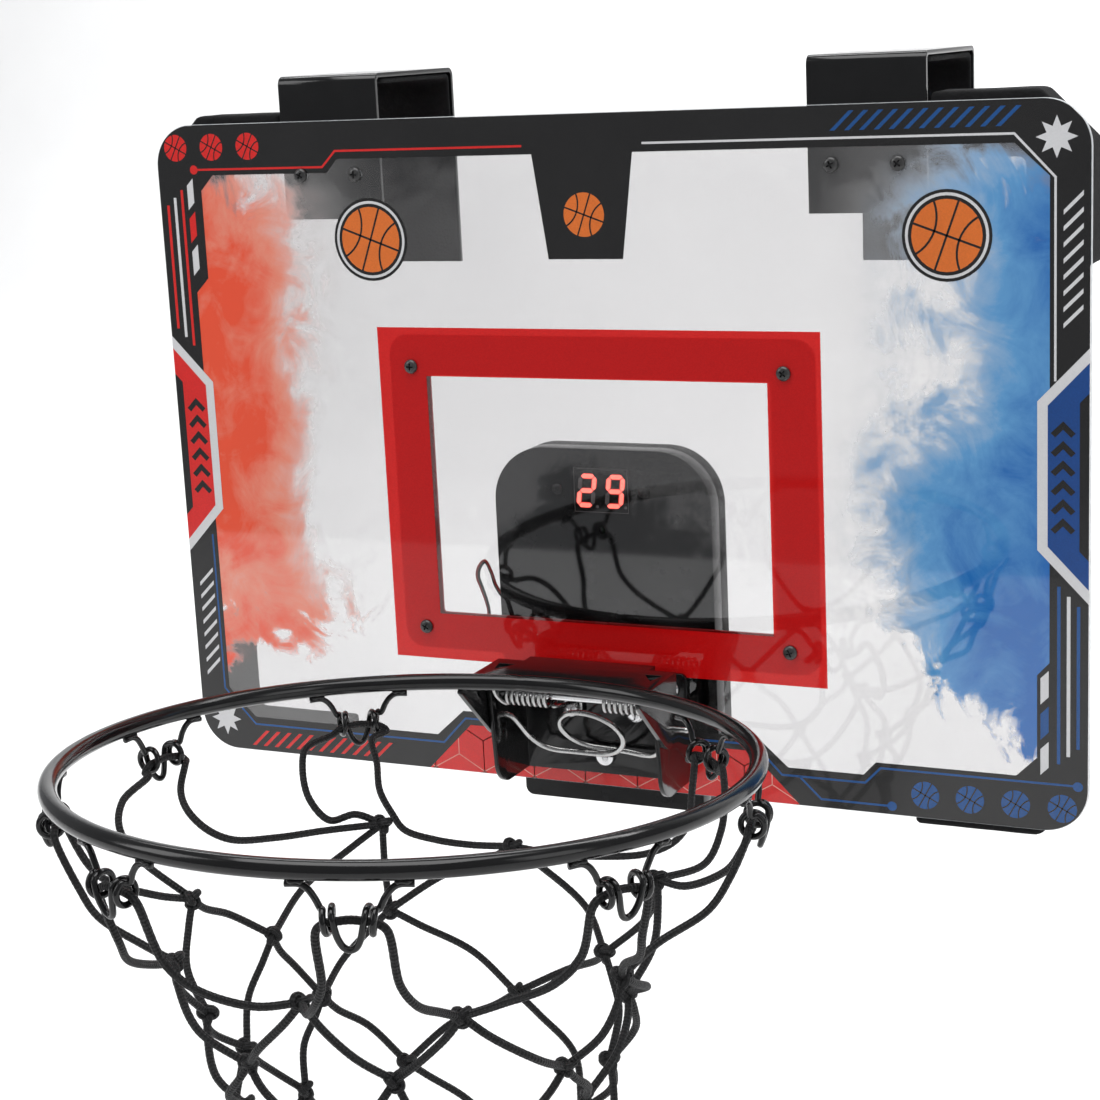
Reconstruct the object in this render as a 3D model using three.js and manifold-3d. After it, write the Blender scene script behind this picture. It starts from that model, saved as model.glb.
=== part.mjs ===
// Over-the-door basketball hoop with an electronic scoring unit.
// Millimetres, +X to the player's right, +Y into the door, +Z up.
// Everything is laid out from the backboard (x = 0 on its centre line, y = 0 on its front face,
// z = 0 at its bottom edge), and the last group moves it so that the origin is on the door's top edge.
import * as THREE from "three";
import { mergeVertices } from "three/addons/utils/BufferGeometryUtils.js";
import Module from "manifold-3d";

const wasm = await Module();
wasm.setup();

// ---- driving dimensions ----
const GAP = 0.3; // clearance between pieces that touch
const BOARD = { width: 432, height: 300, thick: 3, corner: 19 };
const RING = { radius: 131.7, tube: 3.54, y: -184.6, z: 69.9, tilt: THREE.MathUtils.degToRad(3.26) };
const HOOKS = { count: 8, backGap: THREE.MathUtils.degToRad(75), wire: 1.2, drop: 26, curl: 4.4 };
// each pair is a share of the net's depth and the net's radius there
const NET_PROFILE = [[0, 125], [0.08, 112], [0.18, 94], [0.35, 82], [0.6, 71], [0.85, 63], [1, 60]];
const NET = { depth: 176, wall: 1.5, radii: NET_PROFILE };
const TARGET = {
  half: 101, bottom: 58, top: 204,
  innerHalf: 81, innerBottom: 75.6, innerTop: 185.8,
  thick: 1.4,
};
const TARGET_SCREW = { x: 88.3, low: 69, high: 190, head: 3.2, shank: 1.4 };
const UNIT = {
  half: 52, top: 154, corner: 25,
  footHalf: 44, bottom: -9.6, foot: 4, taper: [6, 26], // it narrows to its foot behind the border
  front: 4.9, split: 14, back: 22, wall: 2,
};
const SCREEN = { half: 13.5, bottom: 125, top: 145.7, screwX: 20.8 };
const BATTERY = { radius: 5.25, length: 44.5, pitch: 11.5, lowZ: 64, y: 14.4, count: 3 };
const COVER = { half: 31, bottom: 50, top: 102, thick: 1.6 };
const BRACKET = { half: 40.3, sheet: 2, bottom: 6.7, top: 56 };
const HINGE = { y: -24.5, z: 38, wire: 1.3, end: 50 };
const SPRING = { y: -27, z: 49.5, rod: 2, mean: 5, wire: 0.9, turns: 8, from: 13, to: 34 };
const ARM = { sheet: 2, top: 62, back: -12, front: -62, nose: 6.8 };
const BOLTS = [[-32.5, 49], [32.5, 49], [-15.9, 36.5], [15.9, 36.5], [0, 15]];
const BOLT = { head: 4.6, rise: 2.8, shank: 2.4, nut: 4.3, nutThick: 3.6 };
const DOOR = { front: 24, back: 74, top: 315 };
const DOOR_HOOK = { inner: 99.8, width: 50, sheet: 2, legBottom: 229, plateBottom: 256, liner: 2.6 };
const PAD = {
  high: { inner: 151, outer: 216, over: 4, band: 27, arm: 27, down: 66, cut: 21 },
  low: { inner: 141, outer: 208, over: 4.4, band: 16, arm: 11.5, down: 62, cut: 13 },
};
const LEAD = { radius: 1.1, exitY: 10.2, exitZ: 81.5 };
const SENSOR = { x: -61.5, z: 64.5, radius: 5.2 };
const CONTROL_Y = 17.2; // the switch and the button sit in the floor of the rear shell
const SWITCH = { x: -16, slot: 6, half: 3, travel: 5, stem: 1.3 };
const BUTTON = { x: 16, radius: 1.9 };

const part = new THREE.Group();

// ---- helpers ----
const rounded = (x0, z0, x1, z1, bottomR, topR = bottomR, Kind = THREE.Shape) => {
  const s = new Kind();
  s.moveTo(x0 + bottomR, z0);
  s.lineTo(x1 - bottomR, z0);
  if (bottomR) s.absarc(x1 - bottomR, z0 + bottomR, bottomR, -Math.PI / 2, 0, false);
  s.lineTo(x1, z1 - topR);
  if (topR) s.absarc(x1 - topR, z1 - topR, topR, 0, Math.PI / 2, false);
  s.lineTo(x0 + topR, z1);
  if (topR) s.absarc(x0 + topR, z1 - topR, topR, Math.PI / 2, Math.PI, false);
  s.lineTo(x0, z0 + bottomR);
  if (bottomR) s.absarc(x0 + bottomR, z0 + bottomR, bottomR, Math.PI, 1.5 * Math.PI, false);
  return s;
};

const polygon = (points) => new THREE.Shape(points.map(([u, v]) => new THREE.Vector2(u, v)));

// A plate parallel to the board: its outline is in x and z, and it spans y0 to y1.
const plateY = (shape, y0, y1, curveSegments = 5) =>
  new THREE.ExtrudeGeometry(shape, { depth: y1 - y0, bevelEnabled: false, curveSegments })
    .rotateX(Math.PI / 2)
    .translate(0, y1, 0);

// A plate across the object: its outline is in y and z, and it spans x0 to x1.
const plateX = (shape, x0, x1, curveSegments = 5) =>
  new THREE.ExtrudeGeometry(shape, { depth: x1 - x0, bevelEnabled: false, curveSegments })
    .applyMatrix4(
      new THREE.Matrix4().makeBasis(
        new THREE.Vector3(0, 1, 0), new THREE.Vector3(0, 0, 1), new THREE.Vector3(1, 0, 0)))
    .translate(x0, 0, 0);

const box = (x0, y0, z0, x1, y1, z1) =>
  new THREE.BoxGeometry(x1 - x0, y1 - y0, z1 - z0)
    .translate((x0 + x1) / 2, (y0 + y1) / 2, (z0 + z1) / 2);

const rodX = (radius, x0, x1, y, z, sides = 12) =>
  new THREE.CylinderGeometry(radius, radius, x1 - x0, sides)
    .rotateZ(Math.PI / 2)
    .translate((x0 + x1) / 2, y, z);

const rodY = (radius, y0, y1, x, z, sides = 12) =>
  new THREE.CylinderGeometry(radius, radius, y1 - y0, sides).translate(0, (y0 + y1) / 2, 0).translate(x, 0, z);

const rodZ = (radius, z0, z1, x, y, sides = 12) =>
  new THREE.CylinderGeometry(radius, radius, z1 - z0, sides)
    .rotateX(Math.PI / 2)
    .translate(x, y, (z0 + z1) / 2);

const wireAlong = (curve, radius, steps, sides = 6) => {
  const section = new THREE.Shape();
  for (let i = 0; i < sides; i++) {
    const a = (i / sides) * 2 * Math.PI;
    const p = [radius * Math.cos(a), radius * Math.sin(a)];
    if (i) section.lineTo(...p);
    else section.moveTo(...p);
  }
  return new THREE.ExtrudeGeometry(section, { steps, extrudePath: curve, bevelEnabled: false });
};

const solid = (geometry) => {
  const g = geometry.clone();
  g.deleteAttribute("normal");
  g.deleteAttribute("uv");
  const m = mergeVertices(g, 1e-3);
  return new wasm.Manifold(new wasm.Mesh({
    numProp: 3,
    vertProperties: new Float32Array(m.attributes.position.array),
    triVerts: new Uint32Array(m.index.array),
  }));
};

const asGeometry = (made) => {
  const m = made.getMesh();
  return new THREE.BufferGeometry()
    .setAttribute("position", new THREE.BufferAttribute(m.vertProperties, 3))
    .setIndex(new THREE.BufferAttribute(m.triVerts, 1));
};

const join = (...pieces) => asGeometry(pieces.map(solid).reduce((a, b) => a.add(b)));
const cut = (body, ...tools) => asGeometry(tools.map(solid).reduce((a, b) => a.subtract(b), solid(body)));

const add = (name, geometry, look) => {
  const mesh = new THREE.Mesh(geometry, new THREE.MeshStandardMaterial(look));
  mesh.name = name;
  part.add(mesh);
  return mesh;
};

const LOOK = {
  clear: { color: 0xe9ebec, roughness: 0.05, metalness: 0, transparent: true, opacity: 0.6 },
  red: { color: 0xb00b12, roughness: 0.35, metalness: 0 },
  black: { color: 0x0d0d0e, roughness: 0.25, metalness: 0.2 },
  blackPlastic: { color: 0x111112, roughness: 0.45, metalness: 0 },
  chrome: { color: 0xc9cacb, roughness: 0.2, metalness: 1 },
  foam: { color: 0x1b1b1c, roughness: 0.95, metalness: 0 },
  board: { color: 0x0f5a2c, roughness: 0.5, metalness: 0 },
  cell: { color: 0x2e6a49, roughness: 0.35, metalness: 0.3 },
  net: { color: 0x101010, roughness: 0.9, metalness: 0 },
};

// ---- backboard, target ring behind it and the ring's screws ----
const signed = [-1, 1];
const ringScrews = signed.flatMap((sx) =>
  [TARGET_SCREW.low, TARGET_SCREW.high].map((z) => [sx * TARGET_SCREW.x, z]));
const hookScrewZ = 276;
const hookCentre = DOOR_HOOK.inner + DOOR_HOOK.width / 2;
const hookScrews = signed.flatMap((sx) => signed.map((s) => [sx * hookCentre + s * 14, hookScrewZ]));

const drill = (shape, radius, x, z) => {
  const hole = new THREE.Path();
  hole.absarc(x, z, radius, 0, 2 * Math.PI, true);
  shape.holes.push(hole);
};

const backboard = () => {
  const { width, height, thick, corner } = BOARD;
  const s = rounded(-width / 2, 0, width / 2, height, corner);
  BOLTS.forEach(([x, z]) => drill(s, BOLT.shank + GAP, x, z));
  ringScrews.forEach(([x, z]) => drill(s, TARGET_SCREW.shank + GAP, x, z));
  hookScrews.forEach(([x, z]) => drill(s, TARGET_SCREW.shank + GAP, x, z));
  return plateY(s, 0, thick, 8);
};
add("backboard", backboard(), LOOK.clear);

const behindBoard = BOARD.thick + GAP;
const targetRing = () => {
  const t = TARGET;
  const s = rounded(-t.half, t.bottom, t.half, t.top, 9);
  s.holes.push(rounded(-t.innerHalf, t.innerBottom, t.innerHalf, t.innerTop, 1, 1, THREE.Path));
  ringScrews.forEach(([x, z]) => drill(s, TARGET_SCREW.shank + GAP, x, z));
  return plateY(s, behindBoard - 0.1, behindBoard - 0.1 + t.thick);
};
add("target_ring", targetRing(), LOOK.red);

const panScrew = (x, z, headR, headRise, shankR, y0, y1) => {
  const points = [[0, y1 - y0], [shankR, y1 - y0], [shankR, 0], [headR, 0], [headR, -headRise * 0.45]];
  for (let i = 1; i <= 3; i++) {
    const a = (i / 3) * (Math.PI / 2);
    points.push([headR * Math.cos(a), -headRise * (0.45 + 0.55 * Math.sin(a))]);
  }
  points[points.length - 1][0] = 0;
  const profile = points.map(([r, h]) => new THREE.Vector2(r, h)).reverse();
  return new THREE.LatheGeometry(profile, 12).translate(x, y0, z);
};
ringScrews.forEach(([x, z], i) =>
  add(`ring_screw_${i + 1}`,
    panScrew(x, z, TARGET_SCREW.head, 1.8, TARGET_SCREW.shank, -GAP, 7), LOOK.black));

// ---- door hooks, liners, screws ----
const hookTop = DOOR.top + DOOR_HOOK.liner + GAP;
const legFront = DOOR.back + DOOR_HOOK.liner + GAP;
const plateFront = behindBoard;
const doorHook = (side) => {
  const s = DOOR_HOOK.sheet;
  const bend = new THREE.Shape();
  const r = 4;
  bend.moveTo(plateFront, DOOR_HOOK.plateBottom);
  bend.lineTo(plateFront + s, DOOR_HOOK.plateBottom);
  bend.lineTo(plateFront + s, hookTop - r + s);
  bend.absarc(plateFront + s + r - s, hookTop - r + s, r - s, Math.PI, Math.PI / 2, true);
  bend.lineTo(legFront - r + s, hookTop);
  bend.absarc(legFront - r + s, hookTop - r + s, r - s, Math.PI / 2, 0, true);
  bend.lineTo(legFront, DOOR_HOOK.legBottom);
  bend.lineTo(legFront + s, DOOR_HOOK.legBottom);
  bend.lineTo(legFront + s, hookTop + s - r);
  bend.absarc(legFront + s - r, hookTop + s - r, r, 0, Math.PI / 2, false);
  bend.lineTo(plateFront + r, hookTop + s);
  bend.absarc(plateFront + r, hookTop + s - r, r, Math.PI / 2, Math.PI, false);
  const x0 = side < 0 ? -DOOR_HOOK.inner - DOOR_HOOK.width : DOOR_HOOK.inner;
  const strap = plateX(bend, x0, x0 + DOOR_HOOK.width, 4);
  const holes = hookScrews.filter(([x]) => x * side > 0)
    .map(([x, z]) => rodY(TARGET_SCREW.shank + GAP, plateFront - 2, plateFront + 6, x, z));
  return cut(strap, ...holes);
};
const hookLiner = (side) => {
  const l = DOOR_HOOK.liner;
  const x0 = side < 0 ? -DOOR_HOOK.inner - DOOR_HOOK.width : DOOR_HOOK.inner;
  const s = polygon([
    [plateFront + 7, DOOR.top], [DOOR.back - 1, DOOR.top], [DOOR.back, DOOR.top - 1],
    [DOOR.back, DOOR_HOOK.legBottom], [DOOR.back + l, DOOR_HOOK.legBottom],
    [DOOR.back + l, DOOR.top + l - 2], [DOOR.back + l - 2, DOOR.top + l], [plateFront + 7, DOOR.top + l]]);
  return plateX(s, x0, x0 + DOOR_HOOK.width);
};
signed.forEach((side) => {
  const word = side < 0 ? "left" : "right";
  add(`door_hook_${word}`, doorHook(side), LOOK.black);
  add(`hook_liner_${word}`, hookLiner(side), LOOK.foam);
});
hookScrews.forEach(([x, z], i) =>
  add(`hook_screw_${i + 1}`,
    panScrew(x, z, TARGET_SCREW.head, 1.8, TARGET_SCREW.shank, -GAP, 9), LOOK.black));

// ---- corner pads that hold the board off the door ----
const cornerPad = (side, up) => {
  const { inner, outer, over, band, arm, down, cut: chamfer } = up ? PAD.high : PAD.low;
  const edge = !up && side < 0 ? 0 : -over; // the lower left pad sits flush with the board's bottom edge
  const outline = [
    [inner, edge], [outer - chamfer, edge], [outer, edge + chamfer], [outer, edge + down + over],
    [outer - arm, edge + down + over], [outer - arm, edge + band], [inner, edge + band]];
  const points = outline.map(([x, z]) => [side * x, up ? BOARD.height - z : z]);
  return plateY(polygon(points), behindBoard, DOOR.front);
};
signed.forEach((side) => [false, true].forEach((up) =>
  add(`corner_pad_${up ? "upper" : "lower"}_${side < 0 ? "left" : "right"}`, cornerPad(side, up), LOOK.foam)));

// ---- scoring unit ----
const unitOutline = (inset) => {
  const [half, narrow] = [UNIT.half - inset, UNIT.footHalf - inset];
  const [low, high] = [UNIT.bottom + inset, UNIT.top - inset];
  const [small, large] = [Math.max(UNIT.foot - inset, 1), UNIT.corner - inset];
  const s = new THREE.Shape();
  s.moveTo(-narrow + small, low);
  s.lineTo(narrow - small, low);
  s.absarc(narrow - small, low + small, small, -Math.PI / 2, 0, false);
  s.lineTo(narrow, UNIT.taper[0]);
  s.lineTo(half, UNIT.taper[1]);
  s.lineTo(half, high - large);
  s.absarc(half - large, high - large, large, 0, Math.PI / 2, false);
  s.lineTo(-half + large, high);
  s.absarc(-half + large, high - large, large, Math.PI / 2, Math.PI, false);
  s.lineTo(-half, UNIT.taper[1]);
  s.lineTo(-narrow, UNIT.taper[0]);
  s.lineTo(-narrow, low + small);
  s.absarc(-narrow + small, low + small, small, Math.PI, 1.5 * Math.PI, false);
  return s;
};
const unitWall = UNIT.wall;

const unitFrontShell = () => {
  const shell = plateY(unitOutline(0), UNIT.front, UNIT.split, 9);
  const hollow = plateY(unitOutline(unitWall), UNIT.front + unitWall, UNIT.split + 5, 9);
  const window = box(-SCREEN.half, UNIT.front - 2, SCREEN.bottom, SCREEN.half, UNIT.front + 4, SCREEN.top);
  const bolts = BOLTS.map(([x, z]) => rodY(BOLT.shank + GAP, UNIT.front - 2, UNIT.front + 4, x, z));
  const screws = signed.map((s) => rodY(1.3, UNIT.front - 2, UNIT.front + 4, s * SCREEN.screwX, 135.5));
  const eye = rodY(1.6, UNIT.front - 2, UNIT.front + 4, 0, 117.5);
  const { exitY, exitZ } = LEAD;
  const wireHole = box(-UNIT.half - 2, exitY - 1.7, exitZ - 2, -UNIT.half + 5, exitY + 1.7, exitZ + 2);
  return cut(shell, hollow, window, ...bolts, ...screws, eye, wireHole);
};
const unitRearShell = () => {
  const shell = plateY(unitOutline(0), UNIT.split + GAP, UNIT.back, 9);
  const hollow = plateY(unitOutline(unitWall), UNIT.split - 5, UNIT.back - unitWall, 9);
  const bay = box(-COVER.half, 15, COVER.bottom, COVER.half, UNIT.back + 2, COVER.top);
  const y = CONTROL_Y;
  const slot = box(SWITCH.x - SWITCH.slot, y - SWITCH.stem - GAP, UNIT.bottom - 2,
    SWITCH.x + SWITCH.slot, y + SWITCH.stem + GAP, UNIT.bottom + 5);
  const hole = rodZ(BUTTON.radius + GAP, UNIT.bottom - 2, UNIT.bottom + 5, BUTTON.x, y, 16);
  const vents = [-6, 0, 6].map((x) =>
    box(-30 + x - 1.2, UNIT.back - 5, 116, -30 + x + 1.2, UNIT.back + 2, 134));
  return cut(shell, hollow, bay, slot, hole, ...vents);
};
add("unit_front_shell", unitFrontShell(), LOOK.blackPlastic);
add("unit_rear_shell", unitRearShell(), LOOK.blackPlastic);

const batteryCover = () => {
  const c = COVER;
  const inner = UNIT.back - c.thick;
  const plate = box(-c.half + GAP, inner, c.bottom + GAP, c.half - GAP, UNIT.back, c.top - GAP);
  const ribs = [0, 1, 2, 3].map((i) =>
    box(-10, UNIT.back - 0.5, c.bottom + 6 + i * 3, 10, UNIT.back + 0.8, c.bottom + 7.4 + i * 3));
  return join(plate, ...ribs);
};
add("battery_cover", batteryCover(), LOOK.blackPlastic);

const innerFront = UNIT.front + unitWall;
add("display_module",
  join(
    box(-SCREEN.half + GAP, UNIT.front + 0.4, SCREEN.bottom + GAP, SCREEN.half - GAP, 9, SCREEN.top - GAP),
    box(-SCREEN.half - 1, innerFront + GAP, SCREEN.bottom - 1, SCREEN.half + 1, 12, SCREEN.top + 1)),
  LOOK.blackPlastic);
add("circuit_board", plateY(rounded(-36, 106, 36, 150, 1.5, 12), 12.3, 13.9), LOOK.board);
signed.forEach((s, i) =>
  add(`display_screw_${i + 1}`,
    panScrew(s * SCREEN.screwX, 135.5, 2.4, 1.2, 1, UNIT.front - 0.2, 12), LOOK.black));
add("speaker",
  new THREE.LatheGeometry(
    [[0, 0], [11, 0], [11, 1.5], [8, 2.6], [8, 4.5], [0, 4.5]].map(([r, h]) => new THREE.Vector2(r, h)), 16)
    .translate(-30, innerFront + GAP, 18),
  LOOK.black);

const batteryZ = (i) => BATTERY.lowZ + i * BATTERY.pitch;
for (let i = 0; i < BATTERY.count; i++) {
  const way = i % 2 ? -1 : 1;
  const half = BATTERY.length / 2;
  const r = BATTERY.radius;
  const profile = [[0, -half], [r, -half], [r, half - 1], [1.9, half - 1], [1.9, half], [0, half]];
  const cell = new THREE.LatheGeometry(profile.map(([r, h]) => new THREE.Vector2(r, h)), 12)
    .rotateZ((-way * Math.PI) / 2)
    .translate(0, BATTERY.y, batteryZ(i));
  add(`battery_${i + 1}`, cell, LOOK.cell);
}
signed.forEach((s) => {
  const x = s * (BATTERY.length / 2 + 1.2);
  add(`contact_plate_${s < 0 ? "left" : "right"}`,
    box(x - 0.4, 10, BATTERY.lowZ - 5, x + 0.4, 19.5, batteryZ(BATTERY.count - 1) + 5), LOOK.chrome);
});

const knobX = SWITCH.x + SWITCH.travel / 2; // switched on
add("power_switch",
  join(
    box(knobX - SWITCH.half, CONTROL_Y - SWITCH.stem, UNIT.bottom - 2.2,
      knobX + SWITCH.half, CONTROL_Y + SWITCH.stem, UNIT.bottom + 4),
    box(knobX - SWITCH.half - 1.5, CONTROL_Y - SWITCH.stem - 1, UNIT.bottom + unitWall + GAP,
      knobX + SWITCH.half + 1.5, CONTROL_Y + SWITCH.stem + 1, UNIT.bottom + 6)),
  LOOK.blackPlastic);
add("reset_button",
  join(
    rodZ(BUTTON.radius, UNIT.bottom - 2, UNIT.bottom + 4, BUTTON.x, CONTROL_Y, 16),
    rodZ(BUTTON.radius + 0.9, UNIT.bottom + unitWall + GAP, UNIT.bottom + 3.8, BUTTON.x, CONTROL_Y, 16)),
  LOOK.red);

// ---- shot sensor behind the board, and its lead ----
add("shot_sensor",
  rodY(SENSOR.radius, behindBoard + 1.8, behindBoard + 3.2, SENSOR.x, SENSOR.z, 20), LOOK.chrome);
const leadPoints = [
  [-50.2, 10.2, 81.5], [-53.5, 10.1, 83], [-56.6, 9.6, 88], [-58.4, 9.2, 94.3], [-61.2, 9, 99.2],
  [-64.3, 8.7, 95.8], [-64.8, 8.4, 91.5], [-63.1, 8, 87.2], [-61.2, 7.8, 82], [-60, 7.8, 77],
  [-60, 7.8, 72], [-60.8, 7.8, 66]];
const leadCurve = new THREE.CatmullRomCurve3(leadPoints.map((p) => new THREE.Vector3(...p)));
add("sensor_lead", wireAlong(leadCurve, LEAD.radius, 18, 8), LOOK.red);

// ---- board bracket: back plate with two cheeks ----
const cheekOutline = () => {
  const s = new THREE.Shape();
  const back = -GAP;
  s.moveTo(back, BRACKET.bottom);
  s.lineTo(back, 44);
  s.lineTo(-14, 45);
  s.lineTo(-21, BRACKET.top);
  s.lineTo(-33, BRACKET.top);
  s.absarc(-33, BRACKET.top - 4, 4, Math.PI / 2, Math.PI, false);
  s.lineTo(-33.5, 19);
  s.absarc(-22, 18.2, 11.5, Math.PI, 1.5 * Math.PI, false);
  return s;
};
const boardBracket = () => {
  const { half, sheet, bottom, top } = BRACKET;
  const plate = plateY(rounded(-half, bottom, half, top, 0.5, 3), -GAP - sheet, -GAP);
  const cheek = (s) => plateX(cheekOutline(), s < 0 ? -half : half - sheet, s < 0 ? -half + sheet : half);
  const cheeks = signed.map(cheek);
  const holes = BOLTS.map(([x, z]) => rodY(BOLT.shank + GAP, -6, 2, x, z));
  const pins = [[HINGE.y, HINGE.z, HINGE.wire], [SPRING.y, SPRING.z, SPRING.rod]]
    .map(([y, z, r]) => rodX(r + GAP, -half - 2, half + 2, y, z));
  return cut(join(plate, ...cheeks), ...holes, ...pins);
};
add("board_bracket", boardBracket(), LOOK.black);

const bracketBolt = (x, z) => {
  const { head, rise, shank, nut, nutThick } = BOLT;
  const face = -GAP - BRACKET.sheet - 0.2;
  const dome = [];
  for (let i = 0; i <= 4; i++) {
    const a = (i / 4) * (Math.PI / 2);
    dome.push(new THREE.Vector2(head * Math.sin(a), face - 0.4 - rise * Math.cos(a)));
  }
  dome[0].x = 0;
  const nutFront = innerFront + 0.2;
  const end = nutFront + nutThick + 1;
  const profile = [...dome, new THREE.Vector2(head, face), new THREE.Vector2(shank, face),
    new THREE.Vector2(shank, end), new THREE.Vector2(0, end)];
  const body = new THREE.LatheGeometry(profile, 12);
  const hex = new THREE.CylinderGeometry(nut, nut, nutThick, 6).translate(0, nutFront + nutThick / 2, 0);
  return join(body, hex).translate(x, 0, z);
};
BOLTS.forEach(([x, z], i) => add(`bracket_bolt_${i + 1}`, bracketBolt(x, z), LOOK.chrome));

// ---- hinge wire: one spring wire whose two ends are the rim's hinge pins ----
const LEVER = new THREE.Vector3(0, 17, -21).normalize(); // from the pins down to the lower bar
const leverPoint = (x, s, off = 0) =>
  new THREE.Vector3(x, HINGE.y + LEVER.y * s - LEVER.z * off, HINGE.z + LEVER.z * s + LEVER.y * off);
const hingeWire = () => {
  const low = 26;
  const loop = { r: 15, x: 0 };
  const points = [
    new THREE.Vector3(-HINGE.end, HINGE.y, HINGE.z), new THREE.Vector3(-44, HINGE.y, HINGE.z),
    new THREE.Vector3(-38, HINGE.y, HINGE.z), leverPoint(-35.2, 1.5), leverPoint(-34, 6),
    leverPoint(-31.5, 17), leverPoint(-27, 23.5), leverPoint(-22, 25.7), leverPoint(-12, low)];
  const turns = 12;
  for (let i = 0; i <= turns; i++) {
    const a = (i / turns) * 2 * Math.PI;
    const s = low - loop.r * (1 - Math.cos(a));
    points.push(leverPoint(loop.x + loop.r * Math.sin(a), s, (3.2 * i) / turns));
  }
  points.push(
    leverPoint(12, low, 2.6), leverPoint(22, 25.7, 1.4), leverPoint(27, 23.5, 0.6), leverPoint(31.5, 17),
    leverPoint(34, 6), leverPoint(35.2, 1.5), new THREE.Vector3(38, HINGE.y, HINGE.z),
    new THREE.Vector3(44, HINGE.y, HINGE.z), new THREE.Vector3(HINGE.end, HINGE.y, HINGE.z));
  return wireAlong(new THREE.CatmullRomCurve3(points, false, "centripetal"), HINGE.wire, 72, 6);
};
add("hinge_wire", hingeWire(), LOOK.chrome);

// ---- spring rod and the two torsion springs on it ----
add("spring_rod",
  rodX(SPRING.rod, -BRACKET.half + 0.1, BRACKET.half - 0.1, SPRING.y, SPRING.z, 10), LOOK.chrome);
class SpringCurve extends THREE.Curve {
  constructor(side) {
    super();
    this.side = side;
  }
  getPoint(t, target = new THREE.Vector3()) {
    const a = -Math.PI / 2 + t * 2 * Math.PI * SPRING.turns;
    const x = SPRING.from + (SPRING.to - SPRING.from) * t;
    const y = SPRING.y - this.side * SPRING.mean * Math.cos(a);
    return target.set(this.side * x, y, SPRING.z + SPRING.mean * Math.sin(a));
  }
}
signed.forEach((side) =>
  add(`torsion_spring_${side < 0 ? "left" : "right"}`,
    wireAlong(new SpringCurve(side), SPRING.wire, SPRING.turns * 8, 5), LOOK.chrome));

// ---- rim: folded arm, ring, hooks ----
const armFlange = () => {
  const s = new THREE.Shape();
  s.moveTo(-61, 58);
  s.lineTo(-33.5, 32.5);
  s.absarc(-28, 37, ARM.nose, 1.22 * Math.PI, 1.5 * Math.PI, false);
  s.lineTo(-24.5, 31.5);
  s.absarc(HINGE.y, HINGE.z, 5.5, 1.5 * Math.PI, 2 * Math.PI, false);
  s.lineTo(-19, 53);
  s.lineTo(ARM.back, ARM.top - ARM.sheet);
  s.lineTo(ARM.back, ARM.top);
  s.lineTo(-55, ARM.top);
  return s;
};
const rimArm = () => {
  const inner = BRACKET.half + GAP;
  const outer = inner + ARM.sheet;
  const plate = box(-outer, ARM.front, ARM.top - ARM.sheet, outer, ARM.back, ARM.top);
  const flanges = signed.map((s) => plateX(armFlange(), s < 0 ? -outer : inner, s < 0 ? -inner : outer));
  const pin = rodX(HINGE.wire + GAP, -outer - 2, outer + 2, HINGE.y, HINGE.z);
  const corners = signed.map((s) =>
    box(s < 0 ? -outer - 1 : 30, -19, 50, s < 0 ? -30 : outer + 1, 0, 70));
  const slots = signed.map((s) =>
    plateY(polygon([[s * 31, 0], [s * 39, 0], [s * 37, 9]]), -4, 4)
      .rotateX(Math.PI / 2).translate(0, -26, ARM.top));
  return { body: join(plate, ...flanges), tools: [pin, ...corners, ...slots] };
};
const ringCentre = new THREE.Vector3(0, RING.y, RING.z);
const tilt = (g) => g.rotateX(-RING.tilt).translate(ringCentre.x, ringCentre.y, ringCentre.z);
const ringGeometry = (tube, sides, around) => tilt(new THREE.TorusGeometry(RING.radius, tube, sides, around));
const { body: armBody, tools: armTools } = rimArm();
const discSides = 96;
const insideRing = tilt(
  new THREE.CylinderGeometry(RING.radius, RING.radius, 60, discSides).rotateX(Math.PI / 2));
add("rim_arm", cut(armBody, ...armTools, insideRing, ringGeometry(RING.tube + GAP, 8, discSides)), LOOK.black);
add("rim_ring", ringGeometry(RING.tube, 8, 64), LOOK.black);

const hookAngles = [];
for (let i = 0; i < HOOKS.count; i++)
  hookAngles.push(Math.PI / 2 + HOOKS.backGap / 2 + (i * (2 * Math.PI - HOOKS.backGap)) / (HOOKS.count - 1));
const netHook = (angle) => {
  const { wire, drop, curl } = HOOKS;
  const under = -(RING.tube + wire + GAP);
  const sag = (t) => RING.radius - Math.sqrt(RING.radius ** 2 - t ** 2); // the ring bends away from its tangent
  const local = [[-21, 0, under], [-16, 0, under], [-13.5, 0, under - 1.5], [-11.5, 0, -9], [-9.5, 0, -13.5]];
  const curlAt = (t0, t1, from, to) => {
    for (let i = 0; i <= 8; i++) {
      const a = from + (i / 8) * (to - from);
      local.push([t0 + ((t1 - t0) * i) / 8, curl * Math.sin(a), -16.5 + curl * Math.cos(a)]);
    }
  };
  const [first, last] = [0.45, 1 + 2 * Math.PI]; // angles where a curl starts and ends
  // the lower bow hangs outside the line of the cord that runs through both curls
  const bow = [[4.6, 3.7, -18], [3.6, 2.9, -22], [1.9, 1.9, -drop + 0.9]];
  curlAt(-8.6, -5.4, first, last);
  local.push(...bow.map(([t, r, z]) => [-t, r, z]), [0, 1.5, -drop], ...bow.reverse());
  curlAt(5.4, 8.6, last, first);
  local.push([9.5, 0, -13.5], [11.5, 0, -9], [13.5, 0, under - 1.5], [16, 0, under], [21, 0, under]);
  const points = local.map(([t, r, z]) => new THREE.Vector3(r - sag(t), t, z));
  const curve = new THREE.CatmullRomCurve3(points, false, "centripetal");
  return tilt(wireAlong(curve, wire, 44, 5).translate(RING.radius, 0, 0).rotateZ(angle));
};
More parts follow.
